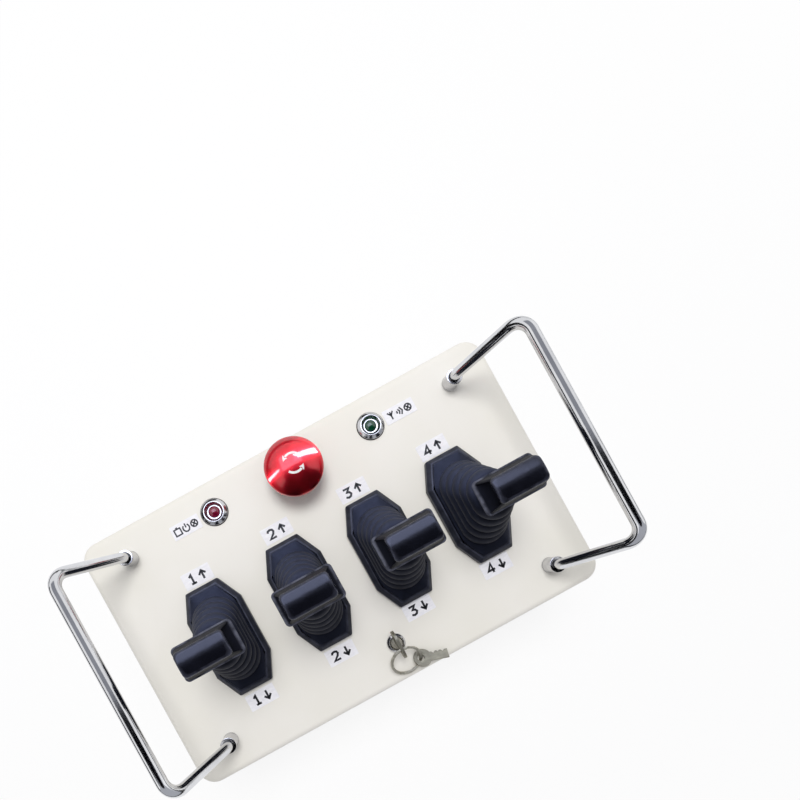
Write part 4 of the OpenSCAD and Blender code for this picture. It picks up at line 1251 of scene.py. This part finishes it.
@dataclass
class Lamp:
    """A lamp in a turned bezel: a fluted dish round a small domed lens, on a rubber washer."""

    prefix: str
    finish: Finish
    slot: str
    cap_h: float = 3.2
    shank_r: float = 6.0
    shank_h: float = 6.0
    edge_h: float = 1.5
    crest: float = 2.3
    dish_out: float = 2.9
    dish_in: float = 1.2
    floor_h: float = 0.9
    flutes: int = 9
    flute_h: float = 0.22
    bezel_columns: int = 144
    washer_r: float = 6.2
    washer_proud: float = 0.5
    washer_t: float = 0.6
    washer_edge: float = 0.35
    washer_columns: int = 96
    lens_d: float = 8.0
    lens_ball: float = 0.7
    lens_gap: float = 0.05
    lens_foot: float = 5.5
    lens_tip: float = 0.02
    lens_rows: int = 16
    lens_columns: int = 64

    def build(self) -> None:
        """Builds the bezel, the washer and the lens by turning their profiles."""
        x, y, r, _, top = round_node(f"{self.prefix}_bezel")
        base, inner = top - self.cap_h, self.lens_d / 2
        foot, floor = base - self.shank_h, base + self.floor_h
        dish = inner + self.dish_in, r - self.dish_out
        # A shank, a rim that slopes to its crest, a dish and the bore for the lens
        profile = soften([
            [inner, foot], [self.shank_r, foot], [self.shank_r, base], [r, base], [r, base + self.edge_h],
            [r - self.crest, top], [dish[1], top], [dish[0], floor], [inner, floor], [inner, foot + 1],
        ], radius=0.35)
        grid = turn(profile, x, y, self.bezel_columns)
        above = profile[:, 1] > base + self.floor_h / 2
        in_dish = above & (profile[:, 0] > dish[0]) & (profile[:, 0] < dish[1])
        grid[:, :, 2] += self.flute_h * in_dish[:, None] * np.cos(self.flutes * round_angles(self.bezel_columns))
        ring = make_piece(f"{self.prefix}_ring", close_grid(grid, loop_rows=True), FITTING)
        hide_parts(f"{self.prefix}_bezel")
        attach(ring, HOUSING)
        hole, out, face = self.washer_r, r + self.washer_proud, base + self.washer_t
        band = [[hole, base], [out, base], [out, base + self.washer_edge], [r - self.washer_t, face], [hole, face]]
        washer = close_grid(turn(soften(band, radius=0.15), x, y, self.washer_columns), loop_rows=True)
        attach(make_piece(f"{self.prefix}_washer", washer, FOOT), HOUSING)
        peak = span(f"{self.prefix}_lens")[1][2]
        dome = dome_profile(self.lens_d * self.lens_ball, inner, peak, self.lens_tip, self.lens_rows)
        sunk = base - self.lens_foot
        lens = np.vstack([[[0.6, sunk], [inner - self.lens_gap, sunk]], dome - [self.lens_gap, 0]])
        jewel = close_grid(turn(lens, x, y, self.lens_columns))
        jewel = make_piece(f"{self.prefix}_jewel", jewel, self.finish, sharp=50)
        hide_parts(f"{self.prefix}_lens")
        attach(jewel, HOUSING)


@dataclass
class KeySwitch:
    """The lock's collar and the split ring on the key. The strand steps down half way along its two turns."""

    lock_h: float = 4.0
    plug_d: float = 8.1
    shank_r: float = 6.0
    collar_columns: int = 72
    ring_r: float = 11.0
    ring_wire: float = 2.2
    strand_r: float = 1.0
    strand_flat: float = 0.5
    strand_gap: float = 2.05
    strand_points: int = 150
    strand_columns: int = 16
    strand_part: Pair = (0.02, 0.98)
    strand_start: float = 1.0
    step_from: float = 0.42
    step_span: float = 0.16

    def build(self) -> None:
        """Builds the collar by turning and the ring by sweeping a wire twice round."""
        x, y, r, base, top = round_node("key_lock_body")
        panel, bore, shank = top - self.lock_h, self.plug_d / 2, self.shank_r
        # A shank, a stepped rim and a dished mouth round the plug
        collar = soften([
            [bore, base + 2], [shank, base], [shank, panel], [r, panel], [r, panel + 2.4], [r - 1.5, top - 0.2],
            [r - 1.8, top], [bore + 1.2, top], [bore + 0.8, top - 0.5], [bore, top - 0.5],
        ], radius=0.4)
        tube = close_grid(turn(collar, x, y, self.collar_columns), loop_rows=True)
        piece = make_piece("lock_collar", tube, FITTING)
        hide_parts("key_lock_body")
        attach(piece, HOUSING)
        ring = make_piece("split_ring", close_grid(self.ring()), SPRING, sharp=60)
        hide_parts("key_ring")
        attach(ring, "ring_group")

    def ring(self) -> Array:
        """Winds the ring's wire twice round.

        The wire's line is a circle that drops by one wire over two turns, tilted about X at the key's hole so that the
        far side rests on the panel.

        Returns:
            The grid of points.
        """
        hole = next(np.array(j["pos_m"]) for j in frame["joints"] if j["name"] == "ring_swing") / MM
        low, _ = span("key_ring")
        fall = math.asin((hole[2] - low[2] - self.ring_wire / 2) / (2 * self.ring_r))
        t = np.linspace(*self.strand_part, self.strand_points)
        a = 4 * np.pi * t + self.strand_start
        step = np.clip((t - self.step_from) / self.step_span, 0, 1)
        drop = self.strand_r * self.strand_flat * self.strand_gap * (0.5 - step)
        flat = np.stack([self.ring_r * np.cos(a), self.ring_r * np.sin(a) - self.ring_r, drop], -1)
        along = np.stack([-np.sin(a), np.cos(a), 0 * a], -1)
        c, s = math.cos(fall), math.sin(fall)
        tilt = np.array([[1, 0, 0], [0, c, -s], [0, s, c]])
        path, way, off_plane = flat @ tilt.T + hole, along @ tilt.T, tilt @ Z_AXIS
        return sweep(path, way, off_plane, self.strand_r, self.strand_columns, self.strand_flat)


# Labels


class Mark(Enum):
    """A printed sign, drawn as strokes in a box one wide and 1.2 high."""

    ONE = (((0.22, 0.95), (0.55, 1.2), (0.55, 0.0)), ((0.2, 0.04), (0.9, 0.04)))
    TWO = (((0.08, 0.9), (0.2, 1.12), (0.5, 1.2), (0.8, 1.1), (0.88, 0.85), (0.7, 0.55), (0.1, 0.05), (0.95, 0.05)),)
    THREE = (((0.08, 1.15), (0.88, 1.15), (0.45, 0.7), (0.75, 0.62), (0.9, 0.35), (0.72, 0.08), (0.4, 0.0),
              (0.08, 0.15)),)
    FOUR = (((0.68, 0.0), (0.68, 1.2), (0.06, 0.38), (0.98, 0.38)),)
    UP = (((0.5, 0.0), (0.5, 1.1)), ((0.04, 0.66), (0.5, 1.16), (0.96, 0.66)))
    DOWN = (((0.5, 1.2), (0.5, 0.1)), ((0.04, 0.54), (0.5, 0.04), (0.96, 0.54)))
    POWER = (((0.5, 1.25), (0.5, 0.6)),
             ((0.2, 0.98), (0.03, 0.7), (0.03, 0.4), (0.22, 0.1), (0.5, 0.0), (0.78, 0.1), (0.97, 0.4), (0.97, 0.7),
              (0.8, 0.98)))
    LAMP = (((0.2, 1.0), (0.03, 0.75), (0.03, 0.45), (0.2, 0.2), (0.5, 0.1), (0.8, 0.2), (0.97, 0.45), (0.97, 0.75),
             (0.8, 1.0), (0.5, 1.1), (0.2, 1.0)),
            ((0.2, 0.25), (0.8, 0.95)), ((0.2, 0.95), (0.8, 0.25)))
    AERIAL = (((0.5, 0.0), (0.5, 1.15)), ((0.06, 1.15), (0.5, 0.6), (0.94, 1.15)))
    CELL = (((0.3, 1.0), (0.03, 1.0), (0.03, 0.05), (0.97, 0.05), (0.97, 1.0), (0.25, 1.0)),
            ((0.35, 1.17), (0.65, 1.17)))
    WAVES = (((0.05, 0.42), (0.16, 0.6), (0.05, 0.78)), ((0.35, 0.22), (0.55, 0.6), (0.35, 0.98)),
             ((0.65, 0.05), (0.95, 0.6), (0.65, 1.15)))


@dataclass(frozen=True)
class Label:
    """One paper label: the node beside it, its middle from there, its size and turn, and the signs printed on it."""

    node: str
    shift: Pair
    size: Pair
    turn_deg: float
    marks: tuple[Mark, ...]


@dataclass
class LabelSet:
    """All paper labels and their print. Where there are three signs, their width, gap and stroke are smaller."""

    paper_t: float = 0.22
    paper_corner: float = 0.6
    paper_points: int = 14
    paper_inset: tuple[float, ...] = (0.4, 0.0, 0.0, 0.06, 1.2, 3.5)
    sunk: float = 0.03
    edge: float = 0.05
    curl: float = 0.16
    curl_from: float = 0.75
    ink_t: float = 0.05
    ink_sunk: float = 0.04
    sign_w: float = 5.6
    sign_gap: float = 3.0
    stroke: float = 0.78
    sign_tall: float = 1.2
    smaller: tuple[float, float, float] = (0.9, 0.55, 0.7)
    lever_size: Pair = (22.6, 12.2)
    above: tuple[Pair, ...] = ((0.1, 48.9), (1.1, 50.0), (-1.7, 49.4), (-1.5, 48.6))
    below: tuple[Pair, ...] = ((-0.9, -50.1), (-0.6, -49.8), (-1.0, -47.9), (-2.4, -48.4))
    turns: tuple[float, ...] = (-0.5, 0.6, -0.8, 0.4)
    lamps: tuple[Label, ...] = (
        Label("power_lamp_bezel", (-23.3, 0.2), (22.8, 10.8), 0.3, (Mark.CELL, Mark.POWER, Mark.LAMP)),
        Label("signal_lamp_bezel", (23.6, -0.6), (24.2, 10.8), -0.4, (Mark.AERIAL, Mark.WAVES, Mark.LAMP)),
    )

    def build(self) -> None:
        """Builds the paper and the print of every label."""
        panel = panel_height()
        labels = self.listing()
        paper = gather([close_grid(self.sheet(label, panel)) for label in labels])
        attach(make_piece("paper_labels", paper, PAPER, sharp=30), HOUSING)
        strokes = [s for label in labels for s in self.print_marks(label, panel + self.paper_t)]
        ink = gather([close_grid(s) for s in strokes])
        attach(make_piece("label_print", ink, BLACK_INK, sharp=30), HOUSING)

    def listing(self) -> list[Label]:
        """Lists the labels: two for each lever and one for each lamp.

        Returns:
            The labels in order.
        """
        labels = []
        for i, number in enumerate((Mark.ONE, Mark.TWO, Mark.THREE, Mark.FOUR)):
            node, lean = f"bezel_{i + 1}", self.turns[i]
            labels.append(Label(node, self.above[i], self.lever_size, lean, (number, Mark.UP)))
            labels.append(Label(node, self.below[i], self.lever_size, -lean, (number, Mark.DOWN)))
        return labels + list(self.lamps)

    def sheet(self, label: Label, panel: float) -> Array:
        """Draws a label as rings of a rounded rectangle, from its underside to its face, with its corners lifted.

        The lift is a square of how far a point lies out towards a corner.

        Args:
            label: The label.
            panel: Height of the panel face.

        Returns:
            The grid of points.
        """
        half, t = np.array(label.size) / 2, self.paper_t
        inset = np.array(self.paper_inset)
        z = np.array([-self.sunk, -self.sunk, t - self.edge, t, t, t])[:, None]
        plan = rounded_rings(half[0] - inset, half[1] - inset, self.paper_corner, self.paper_points)
        out = np.abs(plan / half).min(-1)
        lift = self.curl * np.clip((out - self.curl_from) / (1 - self.curl_from), 0, 1) ** 2 * (z > 0)
        return self.set_down(raise_rings(plan, panel + z + lift), label)

    def print_marks(self, label: Label, top: float) -> list[Array]:
        """Lays out the strokes of a label's signs side by side.

        Args:
            label: The label.
            top: Height of the paper's face.

        Returns:
            One grid for each stroke.
        """
        more = len(label.marks) - 1
        scale, gap, half = self.sign_w, self.sign_gap, self.stroke
        if more > 1:
            scale, gap, half = (value * part for value, part in zip((scale, gap, half), self.smaller))
        whole = scale + more * (scale + gap)
        grids = []
        for k, mark in enumerate(label.marks):
            corner = np.array([k * (scale + gap) - whole / 2, -self.sign_tall / 2 * scale])
            for stroke in mark.value:
                strip = lay_strip(np.array(stroke) * scale + corner, half, top + self.ink_t, top - self.ink_sunk)
                grids.append(self.set_down(strip, label))
        return grids

    @staticmethod
    def set_down(grid: Array, label: Label) -> Array:
        """Turns a grid about the label's middle and moves it into place.

        Args:
            grid: Points about the label's own middle.
            label: The label.

        Returns:
            The grid in place.
        """
        a = math.radians(label.turn_deg)
        spin = np.array([[math.cos(a), math.sin(a), 0], [-math.sin(a), math.cos(a), 0], [0, 0, 1]])
        return grid @ spin + [*(middle(label.node) + label.shift), 0]


# Stage


@dataclass
class Studio:
    """Floor, light and the cards that shape reflections. Sizes here are in metres."""

    floor_half: float = 14.0
    floor_glow: Pair = (0.8, 1.0)
    floor_fade: Pair = (0.25, 1.0)
    floor_gap: float = 0.0001
    sky: float = 0.57
    key_watts: float = 13.6
    key_at: tuple[float, float, float] = (0.05, 0.5, 1.5)
    key_aim: tuple[float, float, float] = (0, 0, 0.1)
    key_size: float = 0.7
    strip_reach: float = 1.4
    strip_glow: float = 20.0
    one_mirror: float = 1.5

    def build(self) -> None:
        """Builds the floor, the world, the lamp and the cards."""
        bpy.context.scene.view_settings.view_transform = "Standard"
        self.floor()
        self.world()
        lamp = bpy.data.lights.new("key_light", "AREA")
        lamp.shape, lamp.size, lamp.energy = "DISK", self.key_size, self.key_watts
        key = add_object("key_light", lamp)
        key.location = self.key_at
        key.rotation_euler = (Vector(self.key_aim) - Vector(self.key_at)).to_track_quat("-Z", "Y").to_euler()
        key.visible_glossy = False
        self.dark_cards()
        self.bright_cards()

    def dark_cards(self) -> None:
        """Hangs the dark cards that give bright metal and glossy black their contrast."""
        black, soot = "#07070a", "#0b0b0d"
        self.card("back_card", self.dome_patch((205, 335), (2, 50), 2.2), black)
        self.card("overhead_card", self.flat_patch((-1.3, 1.2), (-2.0, -0.05), 1.6), black)
        self.card("horizon_card", self.dome_patch((65, 360), (1, 12), 2.0), soot)
        self.card("left_card", self.dome_patch((145, 215), (1, 22), 1.95), soot)
        self.card("low_horizon_card", self.dome_patch((0, 65), (1, 5), 2.0), soot)

    def bright_cards(self) -> None:
        """Hangs the bright cards that give the highlights: all but the grey one hide nothing behind them."""
        cool, white = "#e6ecff", "#ffffff"
        self.card("soft_box", self.flat_patch((-0.9, 0.9), (0.22, 1.7), 1.5), cool, 3.4, clear=True)
        self.card("grey_card", self.flat_patch((-1.0, 1.0), (-0.05, 1.8), 1.62), "#9a9ca3")
        self.card("rod_card", self.dome_patch((205, 335), (12, 64), 1.2), "#b4b6bc", clear=True)
        self.card("boot_card", self.dome_patch((40, 140), (10, 36), 1.5), cool, 4.0, clear=True)
        near = self.mirrored_patch(((1.6, 5.0), (4.6, 1.2), (20.4, -1.0), (20.0, 3.3)))
        far = self.mirrored_patch(((-10.5, 1.0), (-10.5, -0.2), (-20.4, -2.3), (-20.4, 0.0)))
        self.card("side_strip", near, white, self.strip_glow, clear=True)
        self.card("far_strip", far, white, self.strip_glow, clear=True)

    def aim(self) -> None:
        """Gives the mushroom, the bright metal and the boots cards of their own and keeps the soft box off the rods."""
        rods = ("left_bent_rod", "right_bent_rod")
        metal = ("split_ring", "lock_collar", "key", "key_plug", "power_lamp_ring", "signal_lamp_ring")
        self.link_light("side_strip", ("stop_mushroom",), "INCLUDE")
        self.link_light("far_strip", ("stop_mushroom",), "INCLUDE")
        self.link_light("rod_card", rods + metal, "INCLUDE")
        self.link_light("boot_card", tuple(f"folded_boot_{i}" for i in LEVERS), "INCLUDE")
        self.link_light("soft_box", rods, "EXCLUDE")

    @staticmethod
    def link_light(card: str, pieces: tuple[str, ...], state: str) -> None:
        """Ties a card's light to some pieces, or keeps it off them.

        Args:
            card: Name of the card.
            pieces: Names of the pieces.
            state: INCLUDE or EXCLUDE.
        """
        group = bpy.data.collections.new(f"{card}_pieces")
        for piece in pieces:
            group.objects.link(bpy.data.objects[piece])
        for entry in group.collection_objects:
            entry.light_linking.link_state = state
        bpy.data.objects[card].light_linking.receiver_collection = group

    @staticmethod
    def flat_patch(x: Pair, y: Pair, z: float, count: int = 9) -> Array:
        """Works out a level patch between two places across and two along, as rows and columns of points."""
        across, along = np.meshgrid(np.linspace(*x, count), np.linspace(*y, count))
        return np.stack([across, along, 0 * across + z], -1)

    @staticmethod
    def dome_patch(azimuth: Pair, height: Pair, radius: float, cols: int = 49, rows: int = 25) -> Array:
        """Works out a patch of a dome from two azimuths and two heights in degrees, as rows and columns of points."""
        a, e = np.meshgrid(np.radians(np.linspace(*azimuth, cols)), np.radians(np.linspace(*height, rows)))
        return radius * np.stack([np.cos(a) * np.cos(e), np.sin(a) * np.cos(e), np.sin(e)], -1)

    def mirrored_patch(self, corners: tuple[Pair, ...], count: int = 17) -> Array:
        """Works out the patch that the stop button's dome mirrors to the camera within four corners.

        Points between the corners are mixed in straight lines. The dome's normal is a point's way from the dome's
        centre, and the mirrored ray is the view direction turned half round about that normal.

        Args:
            corners: Places on the dome seen from above, in millimetres from the button's middle.
            count: Rows and columns.

        Returns:
            The patch as rows and columns of points.
        """
        x, y, _, _, top = round_node("estop_head")
        ball = StopButton().ball()
        u, v = np.meshgrid(np.linspace(0, 1, count), np.linspace(0, 1, count))
        share = np.stack([(1 - u) * (1 - v), u * (1 - v), u * v, (1 - u) * v], -1)
        plan = share @ np.array(corners)
        normal = np.concatenate([plan, np.sqrt(ball**2 - (plan**2).sum(-1, keepdims=True))], -1) / ball
        point = np.array([x, y, top - ball]) + ball * normal
        view = unit(np.array(bpy.context.scene.camera.location) / MM - point)
        ray = 2 * (normal * view).sum(-1, keepdims=True) * normal - view
        return point * MM + self.strip_reach * ray

    def floor(self) -> None:
        """Lays a plain white floor just under the feet, which keeps the shadow and fades to the white world."""
        material, tree = fresh_material("white_floor")
        plain = add_node(tree, "ShaderNodeBsdfDiffuse", {"Color": linear("#f4f4f4")}).outputs["BSDF"]
        glow = add_node(tree, "ShaderNodeEmission", {"Color": (1, 1, 1, 1), "Strength": 1.0}).outputs["Emission"]
        place = add_node(tree, "ShaderNodeTexCoord").outputs["Object"]
        away = add_node(tree, "ShaderNodeVectorMath", {0: place}, operation="LENGTH").outputs["Value"]
        fade = add_node(tree, "ShaderNodeMapRange", {
            "Value": away, "From Min": self.floor_fade[0], "From Max": self.floor_fade[1],
            "To Min": self.floor_glow[0], "To Max": self.floor_glow[1],
        }, interpolation_type="SMOOTHSTEP").outputs["Result"]
        share = add_node(tree, "ShaderNodeMath", {0: self.seen(tree), 1: fade}, operation="MULTIPLY").outputs["Value"]
        both = add_node(tree, "ShaderNodeMixShader", {0: share, 1: plain, 2: glow})
        add_node(tree, "ShaderNodeOutputMaterial", {"Surface": both.outputs["Shader"]})
        side = (-self.floor_half, self.floor_half)
        self.hang("floor", self.flat_patch(side, side, -self.floor_gap, 2), material)

    def world(self) -> None:
        """Sets a white world for what is seen or mirrored and a softer one for light."""
        world = bpy.data.worlds.new("studio")
        bpy.context.scene.world = world
        world.use_nodes = True
        tree = world.node_tree
        tree.nodes.clear()
        light = add_node(tree, "ShaderNodeBackground", {"Color": linear("#fbfbff"), "Strength": self.sky})
        white = add_node(tree, "ShaderNodeBackground", {"Color": (1, 1, 1, 1), "Strength": 1.0})
        both = add_node(tree, "ShaderNodeMixShader", {
            0: self.seen(tree), 1: light.outputs["Background"], 2: white.outputs["Background"],
        })
        add_node(tree, "ShaderNodeOutputWorld", {"Surface": both.outputs["Shader"]})

    @staticmethod
    def seen(tree: Tree) -> Socket:
        """Adds the test for what is seen or mirrored.

        Args:
            tree: The tree that takes it.

        Returns:
            A socket that is 1 for camera, glossy and transmission rays.
        """
        path = add_node(tree, "ShaderNodeLightPath").outputs
        result = path["Is Camera Ray"]
        for kind in ("Is Glossy Ray", "Is Transmission Ray"):
            result = add_node(tree, "ShaderNodeMath", {0: result, 1: path[kind]}, operation="MAXIMUM").outputs["Value"]
        return result

    def card(self, name: str, grid: Array, colour: str, strength: float = 1.0, clear: bool = False) -> None:
        """Hangs a card that only mirrors see.

        Args:
            name: Name of the card.
            grid: Its points, as rows and columns.
            colour: Its colour.
            strength: How strongly it glows.
            clear: True for a card that hides nothing behind it and is mirrored once only.
        """
        material, tree = fresh_material(name)
        shine: float | Socket = strength
        if clear:
            depth = add_node(tree, "ShaderNodeLightPath").outputs["Glossy Depth"]
            first = add_node(tree, "ShaderNodeMath", {0: depth, 1: self.one_mirror}, operation="LESS_THAN")
            once = {0: first.outputs["Value"], 1: strength}
            shine = add_node(tree, "ShaderNodeMath", once, operation="MULTIPLY").outputs["Value"]
        glow = add_node(tree, "ShaderNodeEmission", {"Color": linear(colour), "Strength": shine})
        surface = glow.outputs["Emission"]
        if clear:
            material.cycles.emission_sampling = "NONE"
            glass = add_node(tree, "ShaderNodeBsdfTransparent").outputs["BSDF"]
            surface = add_node(tree, "ShaderNodeAddShader", {0: surface, 1: glass}).outputs["Shader"]
        add_node(tree, "ShaderNodeOutputMaterial", {"Surface": surface})
        card = self.hang(name, grid, material)
        card.visible_camera = card.visible_diffuse = card.visible_shadow = card.visible_transmission = False

    @staticmethod
    def hang(name: str, grid: Array, material: bpy.types.Material) -> bpy.types.Object:
        """Makes an open sheet of the stage.

        Args:
            name: Name of the sheet.
            grid: Its points, as rows and columns.
            material: Its material.

        Returns:
            The object.
        """
        index = np.arange(grid.shape[0] * grid.shape[1]).reshape(grid.shape[:2])
        faces = np.stack([index[:-1, :-1], index[:-1, 1:], index[1:, 1:], index[1:, :-1]], -1).reshape(-1, 4)
        mesh = bpy.data.meshes.new(name)
        mesh.from_pydata(grid.reshape(-1, 3).tolist(), [], faces.tolist())
        mesh.materials.append(material)
        sheet = add_object(name, mesh)
        return sheet


@dataclass
class Viewpoint:
    """The photograph's camera: straight above the panel, rolled, with the frame shifted off the lens axis."""

    foot: Pair = (-26.5, -2.8)
    above_panel: float = 330.0
    pixels_per_mm: float = 1.38
    roll_deg: float = 28.84
    axis_px: Pair = (310.1, 582.85)
    image: float = 800.0
    sensor: float = 36.0
    clip_start: float = 0.01

    def build(self) -> None:
        """Builds the camera and makes it the scene's own."""
        lens = bpy.data.cameras.new("camera")
        lens.sensor_width = self.sensor
        lens.lens = self.sensor * self.pixels_per_mm * self.above_panel / self.image
        lens.shift_x = (self.image / 2 - self.axis_px[0]) / self.image
        lens.shift_y = (self.axis_px[1] - self.image / 2) / self.image
        lens.clip_start = self.clip_start
        camera = add_object("camera", lens)
        camera.location = np.array([*self.foot, panel_height() + self.above_panel]) * MM
        camera.rotation_euler = (0, 0, -math.radians(self.roll_deg))
        bpy.context.scene.camera = camera


def dress_nodes() -> None:
    """Gives every CAD node that stays its own finish."""
    for name, node in frame["nodes"].items():
        stem = name.rstrip("_0123456789")
        finish = NODE_FINISH.get(name) or NODE_FINISH.get(stem)
        if finish:
            node.data.materials.clear()
            node.data.materials.append(finish.make())
            LOG.info("%s: %s", name, finish.name)


def main() -> None:
    """Builds every sub-assembly in order."""
    logging.basicConfig(level=logging.INFO, format="%(message)s")
    Viewpoint().build()
    studio = Studio()
    studio.build()
    dress_nodes()
    ShellHalf("top_shell", "upper_shell", True).build()
    ShellHalf("bottom_shell", "lower_shell", False).build()
    Underside().build()
    Handles().build()
    for number in LEVERS:
        LeverUnit(number).build()
    StopButton().build()
    Lamp("power_lamp", RED_LENS, "lens_red").build()
    Lamp("signal_lamp", GREEN_LENS, "lens_green").build()
    KeySwitch().build()
    LabelSet().build()
    studio.aim()


if __name__ == "__main__":
    main()
